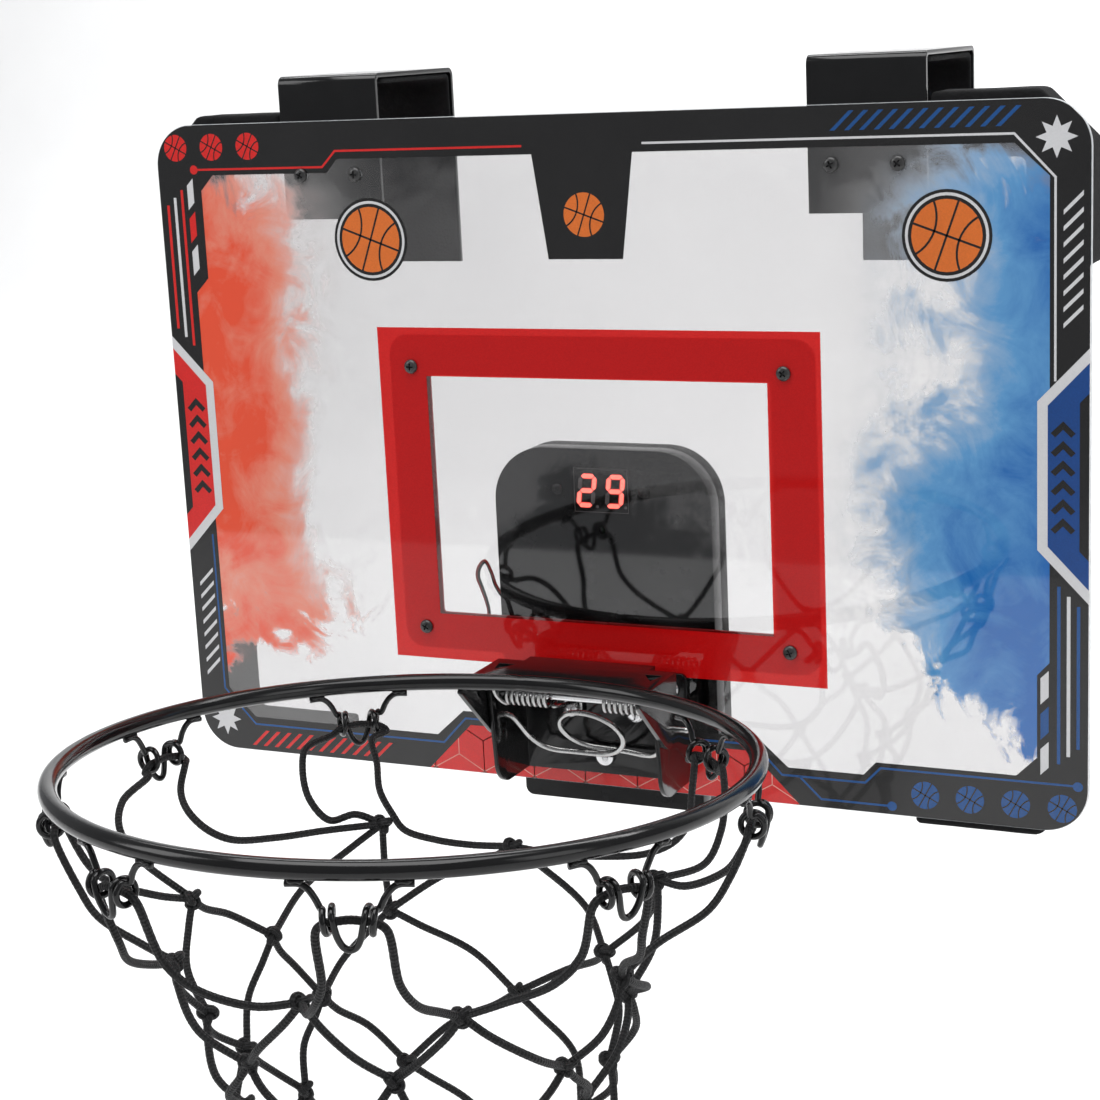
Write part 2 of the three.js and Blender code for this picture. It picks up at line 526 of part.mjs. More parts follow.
hookAngles.forEach((angle, i) => add(`net_hook_${i + 1}`, netHook(angle), LOOK.black));

// ---- net: its outer shape as one open sleeve ----
const netSleeve = () => {
  const top = -HOOKS.drop - HOOKS.wire - GAP - 0.6;
  const half = NET.wall / 2;
  const outer = NET.radii.map(([k, r]) => new THREE.Vector2(r + half, -k * NET.depth));
  const inner = NET.radii.map(([k, r]) => new THREE.Vector2(r - half, -k * NET.depth)).reverse();
  const g = new THREE.LatheGeometry([...inner, ...outer, inner[0]].reverse(), 28).rotateX(Math.PI / 2);
  const p = g.attributes.position;
  for (let i = 0; i < p.count; i++) {
    const depth = -p.getZ(i) / NET.depth;
    const slope = -Math.tan(RING.tilt) * (1 - depth);
    p.setZ(i, p.getZ(i) + p.getY(i) * slope);
  }
  return g.translate(0, RING.y - top * Math.sin(RING.tilt), RING.z + top);
};
add("net", netSleeve(), LOOK.net);

// ---- origin on the door's top edge, midway between its faces ----
const model = new THREE.Group();
part.position.set(0, -(DOOR.front + DOOR.back) / 2, -DOOR.top);
model.add(part);

export default model;
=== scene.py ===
"""Looks of the over-door basketball hoop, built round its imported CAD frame. Metres, in the frame's axes."""

import math
import random

import bpy
import numpy as np
from mathutils import Matrix, Vector, noise


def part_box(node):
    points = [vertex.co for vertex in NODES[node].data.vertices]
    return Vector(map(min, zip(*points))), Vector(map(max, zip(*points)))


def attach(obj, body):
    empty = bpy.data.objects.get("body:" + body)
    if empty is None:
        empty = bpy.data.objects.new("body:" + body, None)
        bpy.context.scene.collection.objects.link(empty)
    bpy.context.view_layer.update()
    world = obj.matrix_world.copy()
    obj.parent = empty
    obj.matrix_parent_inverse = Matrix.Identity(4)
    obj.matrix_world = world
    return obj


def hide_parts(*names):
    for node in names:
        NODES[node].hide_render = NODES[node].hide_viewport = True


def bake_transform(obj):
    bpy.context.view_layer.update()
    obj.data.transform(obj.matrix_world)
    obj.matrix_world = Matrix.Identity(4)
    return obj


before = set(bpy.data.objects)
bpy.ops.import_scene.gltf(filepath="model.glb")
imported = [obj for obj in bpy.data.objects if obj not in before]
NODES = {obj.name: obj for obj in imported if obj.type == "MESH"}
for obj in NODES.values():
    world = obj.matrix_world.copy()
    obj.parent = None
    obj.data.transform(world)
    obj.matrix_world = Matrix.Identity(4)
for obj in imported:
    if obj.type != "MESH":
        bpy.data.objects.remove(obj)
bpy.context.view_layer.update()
MM = 0.001
TURN = 2 * math.pi

# ---- places taken from the frame ----
# Board coordinates are millimetres from the board's centre line, front face and bottom edge.
BOARD_LO, BOARD_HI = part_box("backboard")
BOARD_W = (BOARD_HI.x - BOARD_LO.x) / MM
BOARD_H = (BOARD_HI.z - BOARD_LO.z) / MM
BOARD_T = (BOARD_HI.y - BOARD_LO.y) / MM
CORNER_R = 19
RING_LO, RING_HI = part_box("rim_ring")
RING_TUBE = 3.54
RING_R = (RING_HI.x - RING_LO.x) / MM / 2 - RING_TUBE
RING_TILT = math.radians(3.26)


def at(x, y, z):
    """A point given in board coordinates, in millimetres."""
    return Vector((x * MM, BOARD_LO.y + y * MM, BOARD_LO.z + z * MM))


RING_CENTRE = (RING_LO + RING_HI) / 2
RING_Y = (RING_CENTRE.y - BOARD_LO.y) / MM
RING_Z = (RING_CENTRE.z - BOARD_LO.z) / MM


def in_scene(name, data):
    """A new object in the scene, from its mesh, curve, lamp or camera."""
    made = bpy.data.objects.new(name, data)
    bpy.context.scene.collection.objects.link(made)
    return made


# ---- camera ----
def make_camera():
    """The camera, at the place and angle fitted to the photograph."""
    data = bpy.data.cameras.new("camera")
    data.lens, data.sensor_width = 74.69, 36
    data.clip_start, data.clip_end = 0.05, 30
    camera = in_scene("camera", data)
    right = Vector((0.90713, 0.41820, -0.04729))
    up = Vector((-0.05061, 0.21994, 0.97422))
    back = Vector((0.41781, -0.88134, 0.22067))
    turn = Matrix((right, up, back)).transposed().to_4x4()
    camera.matrix_world = Matrix.Translation((0.40224, -0.94746, 0.01840)) @ turn
    bpy.context.scene.camera = camera


make_camera()


# ---- shader building ----
class Shader:
    """A material's node tree, with short ways to add the nodes that the finishes share."""

    def __init__(self, name):
        self.material = bpy.data.materials.new(name)
        self.material.use_nodes = True
        self.tree = self.material.node_tree
        self.tree.nodes.clear()
        self.out = self.tree.nodes.new("ShaderNodeOutputMaterial")

    def node(self, kind, **settings):
        made = self.tree.nodes.new("ShaderNode" + kind)
        for name, value in settings.items():
            setattr(made, name, value)
        return made

    def put(self, socket, value):
        if isinstance(value, bpy.types.NodeSocket):
            self.tree.links.new(value, socket)
        else:
            socket.default_value = value

    def math(self, operation, a, b=0.0, clamp=False):
        made = self.node("Math", operation=operation, use_clamp=clamp)
        self.put(made.inputs[0], a)
        self.put(made.inputs[1], b)
        return made.outputs[0]

    def plus(self, a, b, clamp=False):
        return self.math("ADD", a, b, clamp)

    def minus(self, a, b):
        return self.math("SUBTRACT", a, b)

    def times(self, a, b):
        return self.math("MULTIPLY", a, b)

    def smooth(self, value, low, high):
        made = self.node("MapRange", interpolation_type="SMOOTHSTEP")
        self.put(made.inputs["Value"], value)
        made.inputs["From Min"].default_value = low
        made.inputs["From Max"].default_value = high
        return made.outputs["Result"]

    def place(self, kind="Object"):
        return self.node("TexCoord").outputs[kind]

    def scaled(self, vector, scale):
        made = self.node("Mapping")
        self.put(made.inputs["Vector"], vector)
        made.inputs["Scale"].default_value = scale
        return made.outputs[0]

    def noise(self, scale, detail=4.0, rough=0.55, vector=None, distortion=0.0):
        made = self.node("TexNoise")
        self.put(made.inputs["Vector"], vector or self.place())
        made.inputs["Scale"].default_value = scale
        made.inputs["Detail"].default_value = detail
        made.inputs["Roughness"].default_value = rough
        made.inputs["Distortion"].default_value = distortion
        return made.outputs["Fac"]

    def cells(self, scale, vector=None):
        made = self.node("TexVoronoi")
        self.put(made.inputs["Vector"], vector or self.place())
        made.inputs["Scale"].default_value = scale
        return made.outputs["Distance"]

    def ramp(self, value, *stops):
        made = self.node("ValToRGB")
        self.put(made.inputs[0], value)
        elements = made.color_ramp.elements
        while len(elements) < len(stops):
            elements.new(0.5)
        for element, (position, colour) in zip(elements, stops):
            element.position = position
            element.color = (*colour, 1) if len(colour) == 3 else colour
        return made.outputs[0]

    def mix(self, share, a, b):
        made = self.node("Mix", data_type="RGBA")
        self.put(made.inputs[0], share)
        self.put(made.inputs[6], (*a, 1) if isinstance(a, tuple) else a)
        self.put(made.inputs[7], (*b, 1) if isinstance(b, tuple) else b)
        return made.outputs[2]

    def bump(self, height, strength, distance):
        made = self.node("Bump")
        self.put(made.inputs["Height"], height)
        made.inputs["Strength"].default_value = strength
        made.inputs["Distance"].default_value = distance
        return made.outputs[0]

    def principled(self, **values):
        made = self.node("BsdfPrincipled")
        for name, value in values.items():
            socket = made.inputs[name.replace("_", " ")]
            if isinstance(value, tuple) and len(value) == 3 and socket.type == "RGBA":
                value = (*value, 1)
            self.put(socket, value)
        return made.outputs[0]

    def mix_shader(self, share, a, b):
        made = self.node("MixShader")
        self.put(made.inputs[0], share)
        self.put(made.inputs[1], a)
        self.put(made.inputs[2], b)
        return made.outputs[0]

    def done(self, surface):
        self.put(self.out.inputs["Surface"], surface)
        return self.material


def varied(s, low, high, scale, detail=3.0):
    """A roughness or value that wanders between two numbers."""
    made = s.node("MapRange")
    s.put(made.inputs["Value"], s.noise(scale, detail))
    made.inputs["From Min"].default_value = 0.3
    made.inputs["From Max"].default_value = 0.7
    made.inputs["To Min"].default_value = low
    made.inputs["To Max"].default_value = high
    return made.outputs["Result"]


def gloss_paint(name, colour, rough=(0.1, 0.2), wear=0.02, specular=0.5, coat=0.3):
    s = Shader(name)
    base = s.ramp(s.noise(45, 6), (0.3, colour), (0.75, tuple(c + wear for c in colour)))
    return s.done(s.principled(
        Base_Color=base, Roughness=varied(s, *rough, 120), Coat_Weight=coat, Coat_Roughness=0.06,
        Specular_IOR_Level=specular,
        Normal=s.bump(s.noise(900, 2), 0.035, 0.0004)))


def bright_metal(name, colour, rough=(0.14, 0.26), streak=(900, 900, 60)):
    s = Shader(name)
    drawn = s.noise(1, 5, 0.6, s.scaled(s.place(), streak))
    base = s.ramp(drawn, (0.3, tuple(c * 0.82 for c in colour)), (0.7, colour))
    return s.done(s.principled(
        Base_Color=base, Metallic=1.0, Roughness=varied(s, *rough, 260),
        Normal=s.bump(drawn, 0.05, 0.0003)))


def moulded(name, colour, rough=(0.3, 0.42), grain=1400, specular=0.5):
    s = Shader(name)
    base = s.ramp(s.noise(60, 5), (0.3, colour), (0.75, tuple(c * 1.35 + 0.002 for c in colour)))
    height = s.plus(s.noise(grain, 3, 0.7), s.times(s.cells(grain * 0.8), 0.6))
    return s.done(s.principled(
        Base_Color=base, Roughness=varied(s, *rough, 90), Specular_IOR_Level=specular,
        Normal=s.bump(height, 0.12, 0.0002)))


def foam_look(name, colour):
    s = Shader(name)
    pores = s.cells(700)
    base = s.ramp(s.noise(160, 6, 0.7), (0.3, colour), (0.8, tuple(c * 1.9 for c in colour)))
    height = s.plus(pores, s.times(s.noise(1800, 4, 0.8), 0.7))
    return s.done(s.principled(
        Base_Color=base, Roughness=0.93, Specular_IOR_Level=0.25, Normal=s.bump(height, 0.5, 0.0006)))


def ink(name, colour, rough=0.22, speckle=0.12):
    """Printed ink: a flat colour broken by the fine dots of the print and slow changes of density."""
    s = Shader(name)
    dots = s.times(s.noise(1600, 2, 0.8), 0.6)
    density = s.plus(dots, s.times(s.noise(25, 4), 0.4))
    base = s.ramp(density, (0.35, tuple(c * (1 - speckle) for c in colour)),
                  (0.65, tuple(min(1, c * (1 + speckle)) for c in colour)))
    return s.done(s.principled(Base_Color=base, Roughness=rough, Coat_Weight=0.35, Coat_Roughness=0.03))


def glass_like(s, inner, index=1.82):
    """A clear, glossy skin over whatever inner shows. The index stands for both faces of the sheet."""
    fresnel = s.node("Fresnel")
    # the Fresnel node inverts its index on back faces, so the power is 1 in front and -1 behind
    flip = s.minus(1.0, s.times(s.node("NewGeometry").outputs["Backfacing"], 2.0))
    s.put(fresnel.inputs["IOR"], s.math("POWER", index, flip))
    gloss = s.node("BsdfGlossy")
    gloss.inputs["Roughness"].default_value = 0.03
    gloss.inputs["Color"].default_value = (1, 1, 1, 1)
    return s.mix_shader(fresnel.outputs[0], inner, gloss.outputs[0])


def see_through(s, tint):
    made = s.node("BsdfTransparent")
    made.inputs["Color"].default_value = (*tint, 1)
    return made.outputs[0]


def clear_sheet_look():
    s = Shader("clear_sheet")
    clear = see_through(s, (0.79, 0.785, 0.785))
    haze = s.principled(Base_Color=(0.8, 0.81, 0.82), Roughness=0.4)
    scuffs = s.smooth(s.noise(9, 7, 0.7), 0.45, 0.9)
    return s.done(s.mix_shader(s.times(scuffs, 0.05), clear, haze))


def sheet_edge_look():
    s = Shader("sheet_edge")
    base = s.ramp(s.noise(300, 3), (0.3, (0.5, 0.53, 0.55)), (0.7, (0.75, 0.78, 0.8)))
    return s.done(s.principled(Base_Color=base, Roughness=0.3, Alpha=0.85))


# powder smoke colours: edge of the cloud, its body and its dense heart
SMOKE_RED = ((0.78, 0.56, 0.52), (0.86, 0.27, 0.18), (0.86, 0.07, 0.015))
SMOKE_BLUE = ((0.44, 0.56, 0.70), (0.10, 0.33, 0.64), (0.0, 0.13, 0.46))


def smoke_print_look():
    """The print's smoke clouds along both sides, and the pale haze between them and the clear middle."""
    s = Shader("smoke_print")
    split = s.node("SeparateXYZ")
    s.put(split.inputs[0], s.place())
    x = split.outputs["X"]
    z = s.minus(split.outputs["Z"], BOARD_LO.z)
    side = s.math("ABSOLUTE", x)
    puffs = s.minus(s.noise(12, 9, 0.56, distortion=0.5), 0.5)
    wisps = s.minus(s.noise(34, 9, 0.62, distortion=1.4), 0.5)
    belly = s.times(s.smooth(s.math("ABSOLUTE", s.minus(z, 0.115)), 0.09, 0.0), 0.016)
    reach = s.plus(side, belly)
    rough = s.times(s.smooth(reach, 0.108, 0.150),
                   s.plus(s.times(puffs, 1.7), s.times(wisps, 0.75)))
    dense = s.plus(s.times(s.smooth(reach, 0.098, 0.216), 0.86), rough)
    slope = s.minus(z, s.times(s.minus(0.1995, side), 0.5))
    torn = s.times(s.plus(puffs, wisps), 0.09)
    low_cut = s.smooth(s.plus(slope, torn), 0.036, 0.052)
    high_cut = s.smooth(s.plus(z, torn), 0.292, 0.262)
    ends = s.times(low_cut, high_cut)
    cover = s.times(s.smooth(dense, 0.05, 0.40), ends)
    right = s.math("GREATER_THAN", x, 0.0)
    red = s.ramp(dense, (0.18, SMOKE_RED[0]), (0.55, SMOKE_RED[1]), (0.86, SMOKE_RED[2]))
    blue = s.ramp(dense, (0.18, SMOKE_BLUE[0]), (0.58, SMOKE_BLUE[1]), (0.98, SMOKE_BLUE[2]))
    powder = s.mix(right, red, blue)
    mist = s.times(s.smooth(side, 0.075, 0.150), 0.16)
    halo = s.times(s.times(s.smooth(dense, -0.1, 0.26), ends), 0.4)
    share = s.math("MAXIMUM", cover, s.math("MAXIMUM", mist, halo), clamp=True)
    colour = s.mix(cover, (0.70, 0.685, 0.68), powder)
    paint = s.principled(Base_Color=colour, Roughness=0.35, Specular_IOR_Level=0.2)
    clear = see_through(s, (0.92, 0.92, 0.925))
    return s.done(glass_like(s, s.mix_shader(share, clear, paint)))


def tinted_red_look():
    s = Shader("red_band_print")
    base = s.ramp(s.noise(1500, 2, 0.8), (0.3, (0.60, 0.002, 0.003)), (0.7, (0.72, 0.006, 0.006)))
    paint = s.principled(Base_Color=base, Roughness=0.3, Specular_IOR_Level=0.2)
    return s.done(glass_like(s, s.mix_shader(0.76, see_through(s, (0.85, 0.06, 0.05)), paint), 1.36))


# the net's braid: length of one weave, strands each way round, and height of the strands
BRAID_PITCH, BRAID_STRANDS, BRAID_RELIEF = 0.0030, 4, 0.00009


def braid_look(name, colour):
    """Round braided cord: two sets of crossing strands along the cord's own length and round it."""
    s = Shader(name)
    split = s.node("SeparateXYZ")
    s.put(split.inputs[0], s.place("UV"))
    along = s.times(split.outputs["X"], TURN / BRAID_PITCH)
    round_it = s.times(split.outputs["Y"], TURN * BRAID_STRANDS)
    one = s.math("SINE", s.plus(along, round_it))
    two = s.math("SINE", s.minus(along, round_it))
    weave = s.times(one, two)
    fuzz = s.noise(2600, 4, 0.75)
    height = s.plus(weave, s.times(fuzz, 0.9))
    # painted light and shade: the weave term lightens the colour on the strands' crests and darkens it in the
    # hollows between them, while the fuzz adds random tone
    painted_crest_shade_and_fuzz = s.plus(s.times(weave, 0.25), s.times(fuzz, 0.9), clamp=True)
    base = s.ramp(painted_crest_shade_and_fuzz, (0.25, colour), (0.8, tuple(c * 2.2 + 0.002 for c in colour)))
    return s.done(s.principled(
        Base_Color=base, Roughness=0.55, Specular_IOR_Level=0.35,
        Normal=s.bump(height, 0.75, 0.0006)))


def glow_look(name, colour, strength):
    s = Shader(name)
    haze = s.ramp(s.noise(900, 2), (0.3, tuple(c * 0.85 for c in colour)), (0.7, colour))
    return s.done(s.principled(
        Base_Color=(0.5, 0.1, 0.06), Roughness=0.3, Emission_Color=haze, Emission_Strength=strength))


LOOKS = {
    "paint": gloss_paint("black_gloss_paint", (0.003, 0.003, 0.0033), wear=0.003, specular=0.45, coat=0.0),
    "zinc": bright_metal("bright_zinc", (0.76, 0.76, 0.77), (0.1, 0.2)),
    "spring": bright_metal("spring_wire", (0.52, 0.52, 0.515), (0.18, 0.3)),
    "black_screw": gloss_paint("black_oxide", (0.012, 0.012, 0.012), (0.28, 0.45), 0.02),
    "plastic": moulded("black_moulding", (0.004, 0.004, 0.0045), (0.16, 0.3), 1100, 0.25),
    "plastic_matte": moulded("black_texture", (0.004, 0.004, 0.0045), (0.42, 0.6), 900, 0.3),
    "red_plastic": moulded("red_moulding", (0.50, 0.012, 0.012), (0.25, 0.4), 800),
    "foam": foam_look("black_foam", (0.007, 0.007, 0.0075)),
    "clear": clear_sheet_look(),
    "edge": sheet_edge_look(),
    "smoke": smoke_print_look(),
    "red_band": tinted_red_look(),
    "cord": braid_look("black_braid", (0.006, 0.006, 0.0065)),
    "lit": glow_look("lit_segment", (1.0, 0.135, 0.105), 4.6),
    "halo": glow_look("segment_halo", (1.0, 0.012, 0.008), 0.75),
    "unlit": moulded("unlit_segment", (0.22, 0.20, 0.20), (0.25, 0.35), 1500),
    "lens": gloss_paint("display_lens", (0.006, 0.004, 0.004), (0.05, 0.1), 0.003),
    "solder_mask": gloss_paint("solder_mask", (0.012, 0.12, 0.04), (0.25, 0.35), 0.03),
    "brass": bright_metal("sensor_brass", (0.72, 0.5, 0.2), (0.25, 0.4)),
    "red_wire": moulded("red_insulation", (0.55, 0.035, 0.025), (0.3, 0.4), 900),
    "dark_wire": moulded("dark_insulation", (0.02, 0.02, 0.02), (0.3, 0.4), 900),
    "cell": gloss_paint("battery_sleeve", (0.02, 0.11, 0.09), (0.15, 0.25), 0.03),
    "ink_black": ink("ink_black", (0.010, 0.0096, 0.0098), 0.2, 0.35),
    "ink_red": ink("ink_red", (0.70, 0.016, 0.014)),
    "ink_blue": ink("ink_blue", (0.008, 0.075, 0.26)),
    "ink_deep_blue": ink("ink_deep_blue", (0.004, 0.055, 0.24)),
    "ink_white": ink("ink_white", (0.68, 0.68, 0.69), 0.3, 0.05),
    "ink_pink": ink("ink_pink", (0.80, 0.36, 0.30), 0.3, 0.08),
    "ink_orange": ink("ink_orange", (0.72, 0.16, 0.02), 0.3, 0.12),
}


# ---- mesh helpers ----
def mesh_of(name, verts, faces):
    made = bpy.data.meshes.new(name)
    made.from_pydata(verts, [], faces)
    return made


def shade_smooth(mesh):
    mesh.polygons.foreach_set("use_smooth", [True] * len(mesh.polygons))


def add_piece(name, mesh, body, replaces=(), looks=(), smooth=True):
    """A piece of the visual model: its body, the CAD nodes it replaces and its looks."""
    made = in_scene(name, mesh)
    for look in looks:
        mesh.materials.append(LOOKS[look])
    if smooth:
        shade_smooth(mesh)
    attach(made, body)
    if replaces:
        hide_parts(*replaces)
    return made


def modifier(made, kind, **settings):
    added = made.modifiers.new(kind.lower(), kind)
    for name, value in settings.items():
        setattr(added, name, value)
    return added


def soften(made, width, segments=3, angle=35):
    """Rounds the hard edges of a piece and keeps its flats flat."""
    modifier(made, "WELD", merge_threshold=1e-6)
    modifier(made, "DECIMATE", decimate_type="DISSOLVE", angle_limit=math.radians(0.5))
    modifier(made, "BEVEL", width=width, segments=segments, limit_method="ANGLE",
             angle_limit=math.radians(angle), harden_normals=True)
    shade_smooth(made.data)


def refinish(name, look, rounding, segments=3):
    """Keeps a CAD piece as it is and gives it a look and rounded edges."""
    made = NODES[name]
    made.data.materials.clear()
    made.data.materials.append(LOOKS[look])
    soften(made, rounding, segments)


def applied(made):
    """The piece's mesh with its modifiers made permanent."""
    graph = bpy.context.evaluated_depsgraph_get()
    mesh = bpy.data.meshes.new_from_object(made.evaluated_get(graph))
    made.modifiers.clear()
    made.data = mesh


def spline(points, step, closed=False):
    """A smooth line through points (centripetal Catmull-Rom), sampled about every step."""
    p = [np.array(q, float) for q in points]
    if closed:
        p = [p[-1], *p, p[0], p[1]]
    else:
        p = [2 * p[0] - p[1], *p, 2 * p[-1] - p[-2]]
    out = []
    for a, b, c, d in zip(p, p[1:], p[2:], p[3:]):
        knots = [0.0]
        for u, v in ((a, b), (b, c), (c, d)):
            knots.append(knots[-1] + max(np.linalg.norm(v - u), 1e-9) ** 0.5)
        t0, t1, t2, t3 = knots
        count = max(2, int(np.linalg.norm(c - b) / step) + 1)
        for t in np.linspace(t1, t2, count, endpoint=False):
            a1 = (t1 - t) / (t1 - t0) * a + (t - t0) / (t1 - t0) * b
            a2 = (t2 - t) / (t2 - t1) * b + (t - t1) / (t2 - t1) * c
            a3 = (t3 - t) / (t3 - t2) * c + (t - t2) / (t3 - t2) * d
            b1 = (t2 - t) / (t2 - t0) * a1 + (t - t0) / (t2 - t0) * a2
            b2 = (t3 - t) / (t3 - t1) * a2 + (t - t1) / (t3 - t1) * a3
            out.append((t2 - t) / (t2 - t1) * b1 + (t - t1) / (t2 - t1) * b2)
    if not closed:
        out.append(p[-2])
    return np.array(out)


class Tubes:
    """Collects tubes, domes and plain faces into one mesh, with length and turn as its UV map."""

    def __init__(self):
        self.verts, self.faces, self.uvs, self.slots = [], [], [], []

    def tube(self, line, radius, sides=12, closed=False, slot=0, ripple=None):
        line = np.asarray(line, float)
        count = len(line)
        ahead = np.roll(line, -1, 0) - np.roll(line, 1, 0)
        if not closed:
            ahead[0], ahead[-1] = line[1] - line[0], line[-1] - line[-2]
        ahead /= np.linalg.norm(ahead, axis=1)[:, None]
        side = np.cross(ahead[0], (0, 0, 1) if abs(ahead[0][2]) < 0.9 else (1, 0, 0))
        side /= np.linalg.norm(side)
        sides_at = []
        for k in range(count):
            side = side - ahead[k] * side.dot(ahead[k])
            side /= np.linalg.norm(side)
            sides_at.append(side)
        sides_at = np.array(sides_at)
        up = np.cross(ahead, sides_at)
        steps = np.linalg.norm(np.diff(line, axis=0, append=line[:1] if closed else line[-1:]), axis=1)
        length = np.concatenate([[0], np.cumsum(steps)])[:count]
        turn = np.arange(sides) / sides * TURN
        radii = np.broadcast_to(np.asarray(radius, float), (count,))[:, None] * np.ones(sides)
        if ripple:
            radii = radii + ripple(length[:, None], turn[None, :])
        ring = (line[:, None] + radii[..., None] * (np.cos(turn)[None, :, None] * sides_at[:, None]
                                                    + np.sin(turn)[None, :, None] * up[:, None]))
        first = len(self.verts)
        self.verts.extend(map(tuple, ring.reshape(-1, 3)))
        for k in range(count if closed else count - 1):
            for j in range(sides):
                a, b = first + k * sides, first + (k + 1) % count * sides
                n = (j + 1) % sides
                self.faces.append((a + j, a + n, b + n, b + j))
                l0, l1 = length[k], length[k] + steps[k]
                v0, v1 = j / sides, (j + 1) / sides
                self.uvs.extend([(l0, v0), (l0, v1), (l1, v1), (l1, v0)])
                self.slots.append(slot)
        if not closed:
            for k, order in ((0, -1), (count - 1, 1)):
                ids = [first + k * sides + j for j in range(sides)][::order]
                self.faces.append(tuple(ids))
                self.uvs.extend([(length[k], 0.5)] * sides)
                self.slots.append(slot)

    def faces_from(self, verts, faces, slot=0):
        first = len(self.verts)
        self.verts.extend(tuple(v) for v in verts)
        for face in faces:
            self.faces.append(tuple(first + k for k in face))
            self.uvs.extend([(0.0, 0.0)] * len(face))
            self.slots.append(slot)

    def mesh(self, name):
        made = mesh_of(name, self.verts, self.faces)
        layer = made.uv_layers.new(name="UVMap")
        layer.data.foreach_set("uv", np.array(self.uvs, np.float32).ravel())
        made.polygons.foreach_set("material_index", self.slots)
        made.update()
        return made


def circle(x, z, radius, steps=24):
    return [(x + radius * math.cos(k / steps * TURN), z + radius * math.sin(k / steps * TURN))
            for k in range(steps)]


def lathe(profile, sides=32):
    """Verts and faces of a body turned about Z. Its (radius, height) pairs start and end on the axis."""
    verts, faces = [(0, 0, profile[0][1])], []
    for r, h in profile[1:-1]:
        verts.extend((x, y, h) for x, y in circle(0, 0, r, sides))
    verts.append((0, 0, profile[-1][1]))
    rows = len(profile) - 2
    for k in range(sides):
        n = (k + 1) % sides
        faces.append((0, 1 + n, 1 + k))
        faces.extend((1 + i * sides + k, 1 + i * sides + n, 1 + (i + 1) * sides + n, 1 + (i + 1) * sides + k)
                     for i in range(rows - 1))
        last = 1 + (rows - 1) * sides
        faces.append((last + k, last + n, len(verts) - 1))
    return verts, faces


def arc_points(cx, cz, radius, start, end, steps=10):
    angles = [math.radians(start + (end - start) * k / steps) for k in range(steps + 1)]
    return [(cx + radius * math.cos(a), cz + radius * math.sin(a)) for a in angles]


def rounded_outline(x0, z0, x1, z1, bottom, top=None, steps=14):
    """An anticlockwise rectangle with round corners, as (x, z) pairs."""
    top = bottom if top is None else top
    out = []
    for cx, cz, r, start in ((x1 - bottom, z0 + bottom, bottom, -90), (x1 - top, z1 - top, top, 0),
                             (x0 + top, z1 - top, top, 90), (x0 + bottom, z0 + bottom, bottom, 180)):
        out.extend(arc_points(cx, cz, r, start, start + 90, steps))
    return out


def plate(name, outline, holes, y0, y1, bevel=0.0):
    """A flat sheet parallel to the board, from its outline and holes, with rounded edges."""
    curve = bpy.data.curves.new(name, "CURVE")
    curve.dimensions, curve.fill_mode = "2D", "BOTH"
    curve.extrude = (y1 - y0) / 2 * MM - bevel * MM
    curve.bevel_depth, curve.bevel_resolution = bevel * MM, 2
    curve.offset = -bevel * MM
    for loop in (outline, *holes):
        line = curve.splines.new("POLY")
        line.points.add(len(loop) - 1)
        for point, (x, z) in zip(line.points, loop):
            point.co = (x * MM, z * MM, 0, 1)
        line.use_cyclic_u = True
    holder = in_scene(name + "_curve", curve)
    mesh = bpy.data.meshes.new_from_object(holder.evaluated_get(bpy.context.evaluated_depsgraph_get()))
    bpy.data.objects.remove(holder)
    centre = at(0, (y0 + y1) / 2, 0)
    mesh.transform(Matrix.Translation(centre) @ Matrix.Rotation(math.pi / 2, 4, "X"))
    mesh.name = name
    return mesh


# ---- backboard: clear sheet, smoke print, target band, line art ----
TARGET_OUT, TARGET_IN = (-104.7, 54.1, 104.7, 207.7), (-80.9, 75.6, 80.9, 185.8)
FRAME_BOX = (-101, 58, 101, 204)
RING_SCREWS = [(x, z) for x in (-88.3, 88.3) for z in (69, 190)]
HOOK_SCREWS = [(side * 124.8 + s, 276) for side in (-1, 1) for s in (-14, 14)]
BOLTS = [(-32.5, 49), (32.5, 49), (-15.9, 36.5), (15.9, 36.5), (0, 15)]
BOLT_HOLE, SCREW_HOLE = 2.7, 1.7
PRINT_INSET, PRINT_GAP, INK_STEP = 0.35, 0.12, 0.03
PRINT_H = round(BOARD_H)


def flat_mesh(name, polygons, look_names):
    """One mesh of flat printed shapes, each (outline, look, layer). A higher layer lies nearer the player."""
    verts, faces, slots = [], [], []
    for outline, look, layer in polygons:
        area = sum(a[0] * b[1] - b[0] * a[1] for a, b in zip(outline, [*outline[1:], outline[0]]))
        points = outline if area > 0 else outline[::-1]
        faces.append(tuple(range(len(verts), len(verts) + len(points))))
        verts.extend(at(x, -PRINT_GAP - INK_STEP * layer, z) for x, z in points)
        slots.append(look_names.index(look))
    mesh = mesh_of(name, verts, faces)
    mesh.polygons.foreach_set("material_index", slots)
    return mesh


def stroke(points, width):
    """Outlines of a printed line: one four-sided piece for each stretch, mitred where it turns."""
    p = [Vector(q) for q in points]
    offsets = []
    for k, q in enumerate(p):
        before = (q - p[k - 1]).normalized() if k else (p[1] - q).normalized()
        after = (p[k + 1] - q).normalized() if k < len(p) - 1 else before
        normal = Vector((-(before + after).y, (before + after).x)).normalized()
        reach = width / 2 / max(0.4, normal.dot(Vector((-before.y, before.x))))
        offsets.append(normal * reach)
    return [[tuple(p[k] + offsets[k]), tuple(p[k] - offsets[k]), tuple(p[k + 1] - offsets[k + 1]),
             tuple(p[k + 1] + offsets[k + 1])] for k in range(len(p) - 1)]


def half_turned(outline):
    """An outline moved to where half a turn about the print's middle takes it."""
    return [(-x, PRINT_H - z) for x, z in outline]


